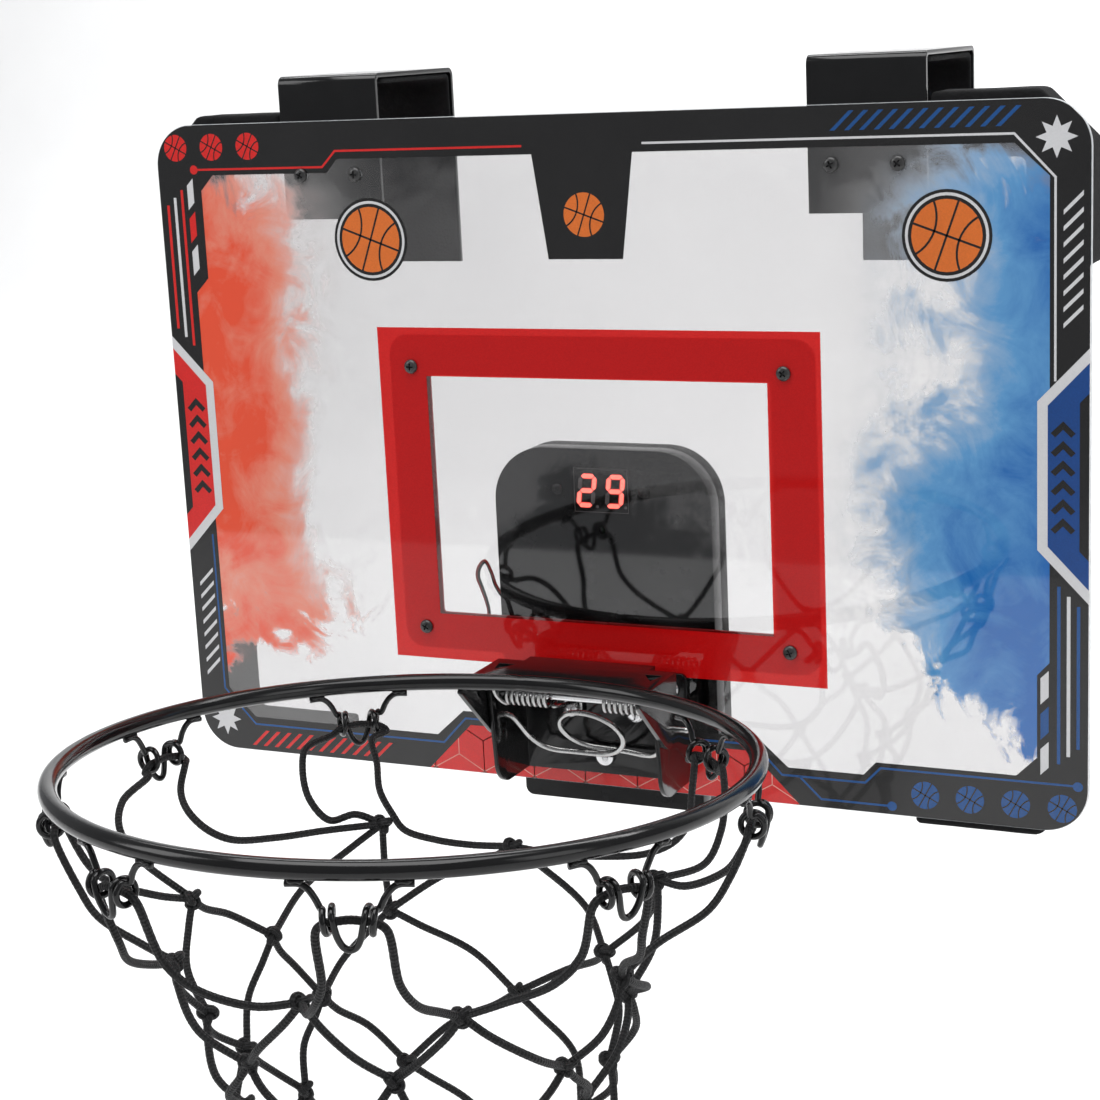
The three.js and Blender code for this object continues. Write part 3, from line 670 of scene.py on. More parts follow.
def ball_icon(x, z, radius, fill, line, layer, turn=-28, width=0.55):
    """A plain basketball: a disc with its seams."""
    shapes = [(circle(x, z, radius, 32), fill, layer)]
    far, bend = 1.55 * radius, 1.18 * radius
    seams = [[(-radius, 0), (radius, 0)], [(0, -radius), (0, radius)],
             arc_points(-far, 0, bend, -40, 40), arc_points(far, 0, bend, 140, 220)]
    c, s = math.cos(math.radians(turn)), math.sin(math.radians(turn))
    for seam in seams:
        turned = [(x + u * c - v * s, z + u * s + v * c) for u, v in seam]
        shapes.extend((piece, line, layer + 1) for piece in stroke(turned, width))
    return shapes


def border_art():
    """The black border in two halves, each from the board's edge in to an inner line of its own."""
    half, top = BOARD_W / 2 - PRINT_INSET, BOARD_H - PRINT_INSET
    edge = rounded_outline(-half, PRINT_INSET, half, top, CORNER_R - PRINT_INSET)
    right_edge = [p for p in edge if p[0] > 0]
    left_edge = [(-x, z) for x, z in right_edge]
    inner_right = [
        (0, 29.5), (72, 29.5), (86, 17), (120, 17), (125.5, 23), (186, 23), (194.7, 31.5), (194.7, 67),
        (199.8, 72.5), (199.8, 270), (186, 283), (23.5, 283), (17.5, 238), (0, 238)]
    inner_left = [
        (0, 29.5), (-72, 29.5), (-86, 17), (-185.5, 17), (-199.5, 31), (-199.5, 223), (-192.8, 229.6),
        (-192.8, 270), (-186, 277), (-125.5, 277), (-120, 283), (-23.5, 283), (-17.5, 238), (0, 238)]
    right = [(0, PRINT_INSET), *right_edge, (0, top), *inner_right[::-1]]
    left = [(0, PRINT_INSET), *left_edge, (0, top), *inner_left[::-1]]
    return [(right, "ink_black", 0), (left, "ink_black", 0)]


def hexagon_art(side, fill):
    """Half a hexagon at one side of the board, with a dark strip and a column of chevrons in it."""
    edge = BOARD_W / 2 - PRINT_INSET
    band = [(edge, 202.4), (194.8, 180.8), (194.8, 119.8), (edge, 98.2)]
    core = [(edge, 196.6), (199.0, 179.2), (199.0, 121.4), (edge, 104.0)]
    strip = [(edge, 184.5), (211.8, 180.5), (211.8, 120), (edge, 116)]
    shapes = [(band, "ink_white", 1), (core, fill, 2), (strip, "ink_black", 3)]
    for k in range(6):
        tip = 173 - 7.9 * k
        chevron = [(205.2, tip), (200.2, tip - 4.9), (202.0, tip - 6.6), (205.2, tip - 3.4),
                   (208.4, tip - 6.6), (210.2, tip - 4.9)]
        shapes.append((chevron, "ink_black", 3))
    return [([(side * x, z) for x, z in outline], look, layer) for outline, look, layer in shapes]


def upright(x, low, high, width):
    return [(x - width / 2, low), (x + width / 2, low), (x + width / 2, high), (x - width / 2, high)]


def side_art():
    """Hash marks, upright lines and tiles in the border, the lower right ones again at the upper left."""
    shapes = []
    for k in range(8):
        for x, start in ((-211.4, 36.4), (205.2, 210.2)):
            z = start + 6.37 * k
            slash = [(x, z), (x + 7.8, z + 7.6), (x + 7.8, z + 9.5), (x, z + 1.9)]
            shapes.append((slash, "ink_white", 1))
    lines = [(203.6, 29.5, 105, 1.4, "ink_blue", "ink_red"), (207.6, 33, 101, 1.5, "ink_white", "ink_white"),
             (211.6, 36.5, 97, 1.4, "ink_blue", "ink_red")]
    for x, low, high, width, right_look, left_look in lines:
        shapes.append((upright(x, low, high, width), right_look, 1))
        shapes.append((upright(-x, PRINT_H - high + 3, PRINT_H - low, width), left_look, 1))
    for k, right_look, left_look in ((0, "ink_white", "ink_white"), (1, "ink_blue", "ink_red"),
                                     (2, "ink_white", "ink_white")):
        z = 24.2 + 15.2 * k
        tile = [(196.1, z), (199.5, z + 3.4), (199.5, z + 14.6), (196.1, z + 11.2)]
        shapes.append((tile, right_look, 1))
        shapes.append(([(x - 1.0, z) for x, z in half_turned(tile)], left_look, 1))
    for k in range(12):
        x = -188.7 + 6.18 * k
        slash = [(x, 2.6), (x + 2.1, 2.6), (x + 10.3, 10.4), (x + 8.2, 10.4)]
        shapes.append((slash, "ink_red", 1))
        shapes.append((half_turned(slash), "ink_blue", 1))
    return shapes


def star_art(x, z, look):
    star = []
    for k in range(16):
        r = 8.3 if k % 2 == 0 else 4.4
        a = math.radians(-90 + k * 22.5)
        star.append((x + r * math.cos(a), z + r * math.sin(a)))
    return [(star, look, 1)]


def circuit_art():
    """Thin lines that follow the border's inner edge and end in dots."""
    runs = [
        ([(-202, 107), (-202, 30.5), (-185.8, 13.4), (-83, 13.4), (-71, 26), (71, 26), (83, 13.4),
          (120.6, 13.4), (127.6, 20.6), (211, 20.6)], "ink_blue"),
        ([(91, 13.4), (100.8, 4), (131, 4)], "ink_blue"),
        ([(202, 189), (202, 269.5), (185.8, 286.6), (28, 286.6)], "ink_white"),
        ([(-28, 286.6), (-120.6, 286.6), (-127.6, 279.6), (-196, 279.6)], "ink_red")]
    shapes = []
    for points, look in runs:
        shapes.extend((piece, look, 1) for piece in stroke(points, 0.95))
    dots = [(211.6, 20.4, "ink_blue"), (132.4, 4, "ink_blue"), (-196, 279.6, "ink_red")]
    shapes.extend((circle(x, z, 2.1, 20), look, 2) for x, z, look in dots)
    return shapes


def clipped(outline, keep):
    """The part of a convex outline inside a convex, anticlockwise polygon."""
    out = [Vector(p) for p in outline]
    for a, b in zip(keep, [*keep[1:], keep[0]]):
        a, b = Vector(a), Vector(b)
        inward = Vector((-(b - a).y, (b - a).x)).normalized()
        kept = []
        for p, q in zip(out, [*out[1:], *out[:1]]):
            dp, dq = (p - a).dot(inward), (q - a).dot(inward)
            if dp >= 0:
                kept.append(p)
            if dp * dq < 0:
                kept.append(p.lerp(q, dp / (dp - dq)))
        out = kept
        if len(out) < 3:
            return None
    return [tuple(p) for p in out]


def cube_art():
    """The red keystone at the bottom, with fine lines that read as stacked cubes."""
    keystone = [(-91, PRINT_INSET), (91, PRINT_INSET), (68.5, 23), (-68.5, 23)]
    shapes = [(keystone, "ink_red", 1)]
    side = 14.8
    rise = side * math.sin(math.radians(30))
    run = side * math.cos(math.radians(30))
    for row in range(-1, 3):
        for col in range(-9, 10):
            cx = (col + (0.5 if row % 2 else 0)) * 2 * run + 1.5
            cz = 8.4 + row * (side + rise)
            spokes = [(0, side), (-run, -rise), (run, -rise)]
            rim = [(-run, rise), (0, side), (run, rise), (run, -rise), (0, -side), (-run, -rise),
                   (-run, rise)]
            lines = [[(cx, cz), (cx + u, cz + v)] for u, v in spokes]
            lines += [[(cx + a[0], cz + a[1]), (cx + b[0], cz + b[1])] for a, b in zip(rim, rim[1:])]
            for line in lines:
                piece = clipped(stroke(line, 0.42)[0][::-1], keystone)
                if piece:
                    shapes.append((piece, "ink_pink", 2))
    return shapes


def roundels():
    """Two plain basketball roundels high on the board and a small one in the tag at the top."""
    shapes = []
    for x, z in ((-105, 247), (158.5, 247)):
        discs = [(18.5, "ink_black"), (17.2, "ink_white"), (16.0, "ink_black")]
        for layer, (radius, look) in enumerate(discs, 1):
            shapes.append((circle(x, z, radius, 48), look, layer))
        shapes.extend(ball_icon(x, z, 14.6, "ink_orange", "ink_black", 4, turn=-20, width=0.9))
    shapes.extend(ball_icon(0, 257, 9.5, "ink_orange", "ink_black", 1, turn=-20, width=0.7))
    return shapes


def make_board():
    outline = rounded_outline(-BOARD_W / 2, 0, BOARD_W / 2, BOARD_H, CORNER_R)
    holes = [circle(x, z, BOLT_HOLE) for x, z in BOLTS]
    holes += [circle(x, z, SCREW_HOLE) for x, z in RING_SCREWS + HOOK_SCREWS]
    mesh = plate("clear_sheet", outline, holes, 0, BOARD_T, 0.3)
    add_piece("board_sheet", mesh, "board", ["backboard"], ["clear", "edge"], smooth=False)
    for face in mesh.polygons:
        face.material_index = 0 if abs(face.normal.y) > 0.9 else 1
    shrink_x, shrink_z = 1 - 2 * PRINT_INSET / BOARD_W, 1 - 2 * PRINT_INSET / BOARD_H
    inset = [(x * shrink_x, PRINT_INSET + z * shrink_z) for x, z in outline]
    wash = flat_mesh("smoke_print", [(inset, "smoke", -2)], ["smoke"])
    add_piece("board_smoke_print", wash, "board", looks=["smoke"], smooth=False)
    art = border_art() + hexagon_art(-1, "ink_red") + hexagon_art(1, "ink_deep_blue") + side_art()
    art += star_art(-202.5, 15, "ink_white") + star_art(202.5, 285, "ink_white")
    art += circuit_art() + cube_art() + roundels()
    ball_z, ball_r, first_ball_x = 10.3, 6.1, 147
    for x in (first_ball_x, 166.3, 185.7, 205.2):
        art += ball_icon(x, ball_z, ball_r, "ink_blue", "ink_black", 1)
        if x != first_ball_x:
            art += ball_icon(-x, PRINT_H - ball_z, ball_r, "ink_red", "ink_black", 1)
    names = sorted({look for _, look, _ in art})
    lines = flat_mesh("line_art", art, names)
    add_piece("board_line_art", lines, "board", looks=names, smooth=False)
    x0, z0, x1, z1 = TARGET_OUT
    u0, w0, u1, w1 = TARGET_IN
    sides = [[(x0, z0), (x1, z0), (x1, w0), (x0, w0)], [(x0, w1), (x1, w1), (x1, z1), (x0, z1)],
             [(x0, w0), (u0, w0), (u0, w1), (x0, w1)], [(u1, w0), (x1, w0), (x1, w1), (u1, w1)]]
    band = flat_mesh("target_band", [(s, "red_band", 1) for s in sides], ["red_band"])
    add_piece("board_target_band", band, "board", looks=["red_band"], smooth=False)


def make_target_ring():
    lo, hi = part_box("target_ring")
    y0, y1 = (lo.y - BOARD_LO.y) / MM, (hi.y - BOARD_LO.y) / MM
    holes = [rounded_outline(*TARGET_IN, 1.5)] + [circle(x, z, SCREW_HOLE) for x, z in RING_SCREWS]
    mesh = plate("target_ring", rounded_outline(*FRAME_BOX, 9), holes, y0, y1, 0.25)
    add_piece("target_ring_frame", mesh, "board", ["target_ring"], ["red_plastic"],
              smooth=False)


make_board()
make_target_ring()


# ---- screws and bolts ----
def cross_head(radius, rise, shank, length):
    """A pan-head screw with a cross recess, along +Z with its head towards -Z."""
    pitch = 0.7
    profile = [(0, -rise), (radius * 0.45, -rise * 0.97), (radius * 0.75, -rise * 0.84),
               (radius * 0.93, -rise * 0.55), (radius, -rise * 0.25), (radius * 0.985, 0), (shank, 0.02)]
    for k in range(int(length / pitch)):
        profile += [(shank * 0.84, pitch / 2 + pitch * k), (shank, pitch + pitch * k)]
    profile += [(shank * 0.5, length), (0, length)]
    verts, faces = lathe([(r * MM, h * MM) for r, h in profile], 32)
    body = in_scene("cross_head_body", mesh_of("cross_head", verts, [f[::-1] for f in faces]))
    tool = in_scene("cross_head_tool", cross_tool(radius, rise))
    modifier(body, "BOOLEAN", object=tool, operation="DIFFERENCE", solver="EXACT")
    bpy.context.view_layer.update()
    applied(body)
    cut = body.data
    bpy.data.objects.remove(body)
    bpy.data.objects.remove(tool)
    return cut


def cross_tool(radius, rise):
    """A tapered cross that sinks into a screw head."""
    arm, slim, deep = radius * 0.62, radius * 0.13, rise * 0.75
    outline = []
    for k in range(4):
        a = k * math.pi / 2
        for u, v in ((arm, -slim), (arm, slim), (slim, slim)):
            outline.append((u * math.cos(a) - v * math.sin(a), u * math.sin(a) + v * math.cos(a)))
    count = len(outline)
    verts = [(x * MM, y * MM, (-rise - 0.5) * MM) for x, y in outline]
    verts += [(x * 0.55 * MM, y * 0.55 * MM, (-rise + deep) * MM) for x, y in outline]
    faces = [tuple(range(count))[::-1], tuple(range(count, 2 * count))]
    faces += [(k, (k + 1) % count, count + (k + 1) % count, count + k) for k in range(count)]
    return mesh_of("cross_tool", verts, faces)


def stand_along_y(mesh, x, y, z):
    """Turns a +Z fastener so that its head faces the player, and puts it at a place on the board."""
    mesh.transform(Matrix.Translation(at(x, y, z)) @ Matrix.Rotation(-math.pi / 2, 4, "X"))
    return mesh


def smooth_by_angle(mesh, degrees=32):
    shade_smooth(mesh)
    mesh.set_sharp_from_angle(angle=math.radians(degrees))


def make_screws():
    groups = [("ring_screw", RING_SCREWS, (3.2, 1.8, 1.4, 7.0), -0.3),
              ("hook_screw", HOOK_SCREWS, (3.2, 1.8, 1.4, 9.0), -0.3),
              ("display_screw", [(-20.8, 135.5), (20.8, 135.5)], (2.4, 1.2, 1.0, 7.0), 4.7)]
    for name, places, size, y in groups:
        shape = cross_head(*size)
        for k, (x, z) in enumerate(places):
            mesh = shape.copy()
            mesh.transform(Matrix.Rotation(0.5 + 1.1 * k, 4, "Z"))
            stand_along_y(mesh, x, y, z)
            add_piece(f"{name}_{k + 1}_cross_head", mesh, "board", [f"{name}_{k + 1}"],
                      ["black_screw"])
            smooth_by_angle(mesh)


def make_bolts():
    """Dome-headed bolts through the bracket, each with its hex nut inside the scoring unit."""
    head, rise, shank, end = 4.6, 3.2, 2.4, 11.8
    thread_from, pitch = 4, 0.8
    seat = -2.5
    nut, low, high, chamfer = circle(0, 0, 4.3, 6), 7.2, 10.7, 0.4
    levels = ((low, 0.9), (low + chamfer, 1), (high - chamfer, 1), (high, 0.9))
    for k, (x, z) in enumerate(BOLTS):
        dome = [(0, seat - rise)]
        dome += [(head * math.sin(a), seat - rise * math.cos(a)) for a in np.linspace(0.12, math.pi / 2, 10)]
        dome += [(head * 0.97, -2.32), (shank, -2.3), (shank, thread_from)]
        for turn in range(int((end - thread_from) / pitch)):
            start = thread_from + pitch * turn
            dome += [(shank * 0.86, start + pitch / 2), (shank, start + pitch)]
        dome += [(shank * 0.7, end), (0, end)]
        parts = Tubes()
        verts, faces = lathe([(r * MM, h * MM) for r, h in dome], 36)
        parts.faces_from(verts, [f[::-1] for f in faces])
        ring = [(u * MM * s, v * MM * s, h * MM) for h, s in levels for u, v in nut]
        sides = [(6 * r + n, 6 * r + (n + 1) % 6, 6 * r + 6 + (n + 1) % 6, 6 * r + 6 + n)
                 for r in range(3) for n in range(6)]
        parts.faces_from(ring, [tuple(range(6))[::-1], tuple(range(18, 24)), *sides])
        mesh = stand_along_y(parts.mesh(f"bolt_{k + 1}"), x, 0, z)
        add_piece(f"bracket_bolt_{k + 1}_dome", mesh, "board", [f"bracket_bolt_{k + 1}"],
                  ["zinc"])
        smooth_by_angle(mesh, 40)


make_screws()
make_bolts()


# ---- rim: ring, folded arm, net hooks ----
RING_TURN = Matrix.Translation(at(0, RING_Y, RING_Z)) @ Matrix.Rotation(-RING_TILT, 4, "X")


def make_ring():
    """The steel ring: one smooth bar, pinched a little at its butt weld at the back."""
    parts = Tubes()
    count = 288
    seam = math.radians(96.5)
    line, radii = [], []
    for k in range(count):
        a = seam + k / count * TURN
        line.append((RING_R * MM * math.cos(a), RING_R * MM * math.sin(a), 0))
        near = min(k, count - k)
        radii.append(RING_TUBE * MM * (0.90 if near == 0 else 1.0))
    parts.tube(line, np.array(radii), 28, closed=True)
    mesh = parts.mesh("rim_ring_bar")
    mesh.transform(RING_TURN)
    add_piece("rim_ring_bar", mesh, "rim", ["rim_ring"], ["paint"])


def weld_bead(parts, line, radius, seed):
    """A run of small overlapping ripples, as a weld leaves."""
    rng = random.Random(seed)
    line = spline(line, 0.0006)
    radii = [radius * (0.9 + 0.22 * math.sin(k * 1.1) + 0.1 * rng.random()) for k in range(len(line))]
    radii[0] = radii[-1] = radius * 0.3
    parts.tube(line, np.array(radii), 12)


def sheet_between(outline_a, outline_b):
    """A closed thin body from two matching outlines of 3D points."""
    count = len(outline_a)
    faces = [tuple(range(count)), tuple(range(2 * count - 1, count - 1, -1))]
    faces += [(count + k, count + (k + 1) % count, (k + 1) % count, k) for k in range(count)]
    return [*outline_a, *outline_b], faces


def make_arm():
    """The folded arm, and the two welds that hold the ring on it."""
    refinish("rim_arm", "paint", 0.0005)
    parts = Tubes()
    for side in (-1, 1):
        line = []
        for k in range(9):
            a = math.radians(90 - side * (3 + 14.5 * k / 8))
            x, y = RING_R * math.cos(a), RING_R * math.sin(a)
            line.append(RING_TURN @ (Vector((x * 1.012, y * 1.012 + 1.0, -3.2)) * MM))
        weld_bead(parts, line, 0.0011, 5 + side)
    add_piece("ring_welds", parts.mesh("ring_welds"), "rim", looks=["paint"])


HOOK_COUNT, BACK_GAP = 8, 75
HOOK_WIRE, HOOK_DROP, HOOK_CURL = 1.2, 26, 4.4
HOOK_ANGLES = [90 + BACK_GAP / 2 + k * (360 - BACK_GAP) / (HOOK_COUNT - 1) for k in range(HOOK_COUNT)]


def hook_line():
    """One net hook's wire, as (along, out, up): feet under the ring, a curl at each side, a bow between."""
    under = -(RING_TUBE + HOOK_WIRE + 0.1)
    left = [(-21, 0, under), (-16, 0, under), (-13.5, 0, under - 1.5), (-11.5, 0, -9), (-9.5, 0, -12.8)]
    for k in range(17):
        a = 0.45 + k / 16 * (0.55 + 2 * math.pi)
        left.append((-8.6 + 3.2 * k / 16, HOOK_CURL * math.sin(a), -16.5 + HOOK_CURL * math.cos(a)))
    left += [(-4.6, 3.7, -18), (-3.6, 2.9, -22), (-1.9, 1.9, -HOOK_DROP + 0.9)]
    return left + [(0, 1.5, -HOOK_DROP)] + [(-t, r, z) for t, r, z in left[::-1]]


def hook_space(angle):
    """Turns (along, out, up) millimetres at a hook into the frame, following the ring's own bend."""
    a = math.radians(angle)
    along, outward = Vector((-math.sin(a), math.cos(a), 0)), Vector((math.cos(a), math.sin(a), 0))

    def place(t, r, z):
        sag = RING_R - math.sqrt(RING_R ** 2 - t ** 2)
        p = outward * (RING_R + r - sag) + along * t + Vector((0, 0, z))
        return RING_TURN @ (p * MM)

    return place


def make_hooks():
    line = hook_line()
    for k, angle in enumerate(HOOK_ANGLES):
        place = hook_space(angle)
        wire = spline([place(*p) for p in line], 0.0006)
        parts = Tubes()
        parts.tube(wire, HOOK_WIRE * MM, 14)
        for side in (-1, 1):
            for out, seed in ((-0.9, 31 + k), (0.9, 61 + k)):
                bead = [place(side * t, out, -RING_TUBE - 0.3) for t in (14.6, 17.5, 20.4)]
                weld_bead(parts, bead, 0.0008, seed)
        mesh = parts.mesh(f"net_hook_{k + 1}_wire")
        add_piece(f"net_hook_{k + 1}_wire", mesh, "rim", [f"net_hook_{k + 1}"],
                  ["paint"])


make_ring()
make_arm()
refinish("board_bracket", "paint", 0.0005)
make_hooks()


# ---- net: braided cord, knotted into diamonds ----
CORD_R = 1.5
# each row of knots: its depth below the ring's centre and its radius
ROWS = [(60, 93), (92, 82), (124, 74), (156, 67), (186, 62.5)]


def net_point(angle, radius, depth):
    """A point of the net from its angle round the ring's centre, its radius and its depth below it."""
    a = math.radians(angle)
    return np.array(at(radius * math.cos(a), RING_Y + radius * math.sin(a), RING_Z - depth))


def braid_ripple(length, turn):
    along, round_it = TURN / BRAID_PITCH * length, BRAID_STRANDS * turn
    return BRAID_RELIEF * np.sin(along + round_it) * np.sin(along - round_it)


def knot_line(centre, size, rng):
    """A small overhand knot, as one closed line."""
    tilt = Matrix.Rotation(rng.uniform(0, 6.28), 3, "Z") @ Matrix.Rotation(rng.uniform(0.9, 1.9), 3, "X")
    out = []
    for k in range(48):
        t = k / 48 * TURN
        p = Vector((math.sin(t) + 2 * math.sin(2 * t), math.cos(t) - 2 * math.cos(2 * t),
                    -1.25 * math.sin(3 * t)))
        out.append(np.array(centre) + np.array(tilt @ (p * size)))
    return np.array(out)


def near_turn(turn, angle):
    """The same direction as turn, counted so that it lies within half a turn of angle."""
    while turn - angle > 180:
        turn -= 360
    while angle - turn > 180:
        turn += 360
    return turn


def cord(parts, line):
    parts.tube(spline(line, 0.0009), CORD_R * MM, 12, ripple=braid_ripple)


def net_knots(rng):
    """The knots of every row as (angle, radius, depth), in the gaps between hooks and under them by turns."""
    gaps = [HOOK_ANGLES[k] + 20.36 for k in range(HOOK_COUNT - 1)] + [450.0]
    under = HOOK_ANGLES[1:] + [HOOK_ANGLES[0] + 360]
    knots = []
    for row, (depth, radius) in enumerate(ROWS):
        line = []
        for angle in gaps if row % 2 == 0 else under:
            wander = (rng.uniform(-4, 4), rng.uniform(-3, 3), rng.uniform(-5, 5))
            line.append((angle + wander[0], radius + wander[1], depth + wander[2]))
        knots.append(line)
    knots[0][0] = (126.6, 92.5, 56)
    knots[0][7] = (450.5, 86, 64)
    return knots


# (along, up) of a cord through one hook's two curls
THROUGH_HOOK = ((-11.5, -20.5), (-8.6, -18.2), (-4, -17.3), (0, -16.9), (4, -17.3), (8.6, -18.2),
                (11.5, -20.5))
# (angle, radius, depth) by hook number and side, where a strand hangs in a way of its own
OWN_STRANDS = {
    (0, -1): [(126, 122, 28), (125.7, 114, 36), (126, 103, 45), (123.8, 96, 53), (121, 91, 59),
              (113, 88, 63), (103, 87, 65)],
    (0, 1): [(139.6, 122, 28), (141.4, 117, 34), (142.6, 105, 44.5), (139.5, 97, 52.5), (133, 96, 51.5)],
    (1, -1): [(165.0, 127, 23), (169.2, 121, 31), (171.5, 113, 37), (170.6, 105, 44), (166.5, 99, 49.5),
              (155, 95, 53.5), (141, 94, 55.5)],
    (1, 1): [(174, 128, 22), (183.4, 126, 26), (188.4, 122, 33), (190.0, 114, 43)],
    (7, 1): [(53.8, 127, 24), (53.6, 125, 38), (53.6, 123, 50), (55, 118, 58), (59.5, 110, 64),
             (68, 98, 66), (79, 90, 66)],
    (7, -1): [(44, 128, 22), (40.8, 126, 31), (38, 122, 43), (36, 114, 54)],
}


def make_net():
    rng = random.Random(11)
    parts = Tubes()
    knots = net_knots(rng)
    for line in knots:
        for place in line:
            parts.tube(knot_line(net_point(*place), 0.0011, rng), CORD_R * MM * 0.98, 10, closed=True,
                       ripple=braid_ripple)
    for k, angle in enumerate(HOOK_ANGLES):
        hook_place = hook_space(angle)
        ends = []
        for side, gap in ((-1, (k - 1) % HOOK_COUNT), (1, k)):
            turn, radius, depth = knots[0][gap]
            turn = near_turn(turn, angle)
            hang = angle + side * 6.0
            usual = [(hang, 124, 36), (hang + (turn - hang) * 0.2, 118, 46),
                     (hang + (turn - hang) * 0.6, 103, 56)]
            middle = OWN_STRANDS.get((k, side), usual)
            ends.append([net_point(*p) for p in (*middle, (turn, radius, depth))])
        # angles grow with the distance along, so the last end follows the last curl
        cord(parts, ends[0][::-1] + [hook_place(t, -1.3, z) for t, z in THROUGH_HOOK] + ends[1])
    for row, (upper, lower) in enumerate(zip(knots, knots[1:])):
        first = -1 if row % 2 == 0 else 0
        for k, (angle, radius, depth) in enumerate(upper):
            for way in (0, 1):
                end_turn, end_radius, end_depth = lower[(k + first + way) % HOOK_COUNT]
                turn = near_turn(end_turn, angle)
                belly = rng.uniform(2.0, 6.0)
                middle = (angle * 0.5 + turn * 0.5 + (turn - angle) * 0.08, (radius + end_radius) / 2 + belly,
                          (depth + end_depth) / 2 + rng.uniform(1, 5))
                early = (angle * 0.8 + turn * 0.2, radius * 0.8 + end_radius * 0.2 + belly * 0.6,
                         depth * 0.75 + end_depth * 0.25)
                stops = ((angle, radius, depth), early, middle, (turn, end_radius, end_depth))
                cord(parts, [net_point(*stop) for stop in stops])
    for angle, radius, depth in knots[-1]:
        tail = ((angle, radius, depth), (angle + 1, radius + 2, depth + 7),
                (angle - 1, radius - 1, depth + 14))
        cord(parts, [net_point(*stop) for stop in tail])
    add_piece("net_cords", parts.mesh("net_cords"), "rim", ["net"], ["cord"])


make_net()


# ---- hinge wire, spring rod and torsion springs ----
HINGE_Y, HINGE_Z, HINGE_WIRE, HINGE_END = -24.5, 38, 1.3, 50
SPRING = {"y": -27, "z": 49.5, "rod": 2, "mean": 5, "wire": 0.9, "turns": 8, "from": 13, "to": 34}


def make_hinge_wire():
    lever = Vector((0, 17, -21)).normalized()
    low, loop_r, steps = 26, 15, 24

    def lever_point(x, s, off=0.0):
        return (x, HINGE_Y + lever.y * s - lever.z * off, HINGE_Z + lever.z * s + lever.y * off)

    arm = [(-HINGE_END, HINGE_Y, HINGE_Z), (-44, HINGE_Y, HINGE_Z), (-38, HINGE_Y, HINGE_Z),
           lever_point(-35.2, 1.5), lever_point(-34, 6), lever_point(-31.5, 17), lever_point(-27, 23.5),
           lever_point(-22, 25.7), lever_point(-12, low)]
    loop = []
    for k in range(steps + 1):
        a = k / steps * TURN
        loop.append(lever_point(loop_r * math.sin(a), low - loop_r * (1 - math.cos(a)), 3.2 * k / steps))
    back = [lever_point(12, low, 2.6), lever_point(22, 25.7, 1.4), lever_point(27, 23.5, 0.6),
            lever_point(31.5, 17), lever_point(34, 6), lever_point(35.2, 1.5), (38, HINGE_Y, HINGE_Z),
            (44, HINGE_Y, HINGE_Z), (HINGE_END, HINGE_Y, HINGE_Z)]
    parts = Tubes()
    line = spline([at(*p) for p in arm + loop + back], 0.0006)
    radii = np.full(len(line), HINGE_WIRE * MM)
    for k, share in enumerate((0.55, 0.85, 0.97)):
        radii[k] *= share
        radii[-1 - k] *= share
    parts.tube(line, radii, 18)
    add_piece("hinge_wire_loop", parts.mesh("hinge_wire_loop"), "hinge_wire", ["hinge_wire"],
              ["spring"])


def make_springs():
    s = SPRING
    for side, word in ((-1, "left"), (1, "right")):
        coil = []
        steps = s["turns"] * 28
        for k in range(steps + 1):
            a = -math.pi / 2 + k / steps * TURN * s["turns"]
            x = s["from"] + (s["to"] - s["from"]) * k / steps
            coil.append((side * x, s["y"] - side * s["mean"] * math.cos(a), s["z"] + s["mean"] * math.sin(a)))
        inner = [(side * 11.5, s["y"] + 3, s["z"] - 5.4), (side * 10.5, -14, s["z"] - 7),
                 (side * 10.2, -4.2, s["z"] - 9), (side * 10.2, -3.6, s["z"] - 14)]
        parts = Tubes()
        parts.tube(spline([at(*p) for p in inner[::-1] + coil], 0.0005), s["wire"] * MM, 12)
        add_piece(f"torsion_spring_{word}_coil", parts.mesh(f"spring_{word}"), "board",
                  [f"torsion_spring_{word}"], ["spring"])
        leg = [coil[-1], (side * 34.8, -30.5, 45.2), (side * 35.6, -37, 50), (side * 36, -42, 57.2),
               (side * 36, -47, 58.9)]
        parts = Tubes()
        parts.tube(spline([at(*p) for p in leg], 0.0005), s["wire"] * MM, 12)
        made = in_scene(f"torsion_spring_{word}_leg", parts.mesh(f"spring_leg_{word}"))
        made.data.materials.append(LOOKS["spring"])
        shade_smooth(made.data)
        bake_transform(made)


make_hinge_wire()
make_springs()
refinish("spring_rod", "zinc", 0.0003, 2)


# ---- scoring unit ----
def make_unit():
    finishes = {
        "unit_front_shell": ("plastic", 0.0009), "unit_rear_shell": ("plastic_matte", 0.0012),
        "battery_cover": ("plastic_matte", 0.0003), "power_switch": ("plastic", 0.0003),
        "reset_button": ("red_plastic", 0.0003), "circuit_board": ("solder_mask", 0.0002),
        "speaker": ("plastic_matte", 0.0004), "battery_1": ("cell", 0.0002), "battery_2": ("cell", 0.0002),
        "battery_3": ("cell", 0.0002), "contact_plate_left": ("zinc", 0.0001),
        "contact_plate_right": ("zinc", 0.0001), "shot_sensor": ("brass", 0.0002)}
    for name, (look, rounding) in finishes.items():
        refinish(name, look, rounding)


# which of the seven bars each digit lights, in the order of segment_shapes
SEGMENTS = {
    "2": (1, 0, 1, 1, 1, 0, 1),
    "9": (1, 1, 1, 1, 0, 1, 1),
}


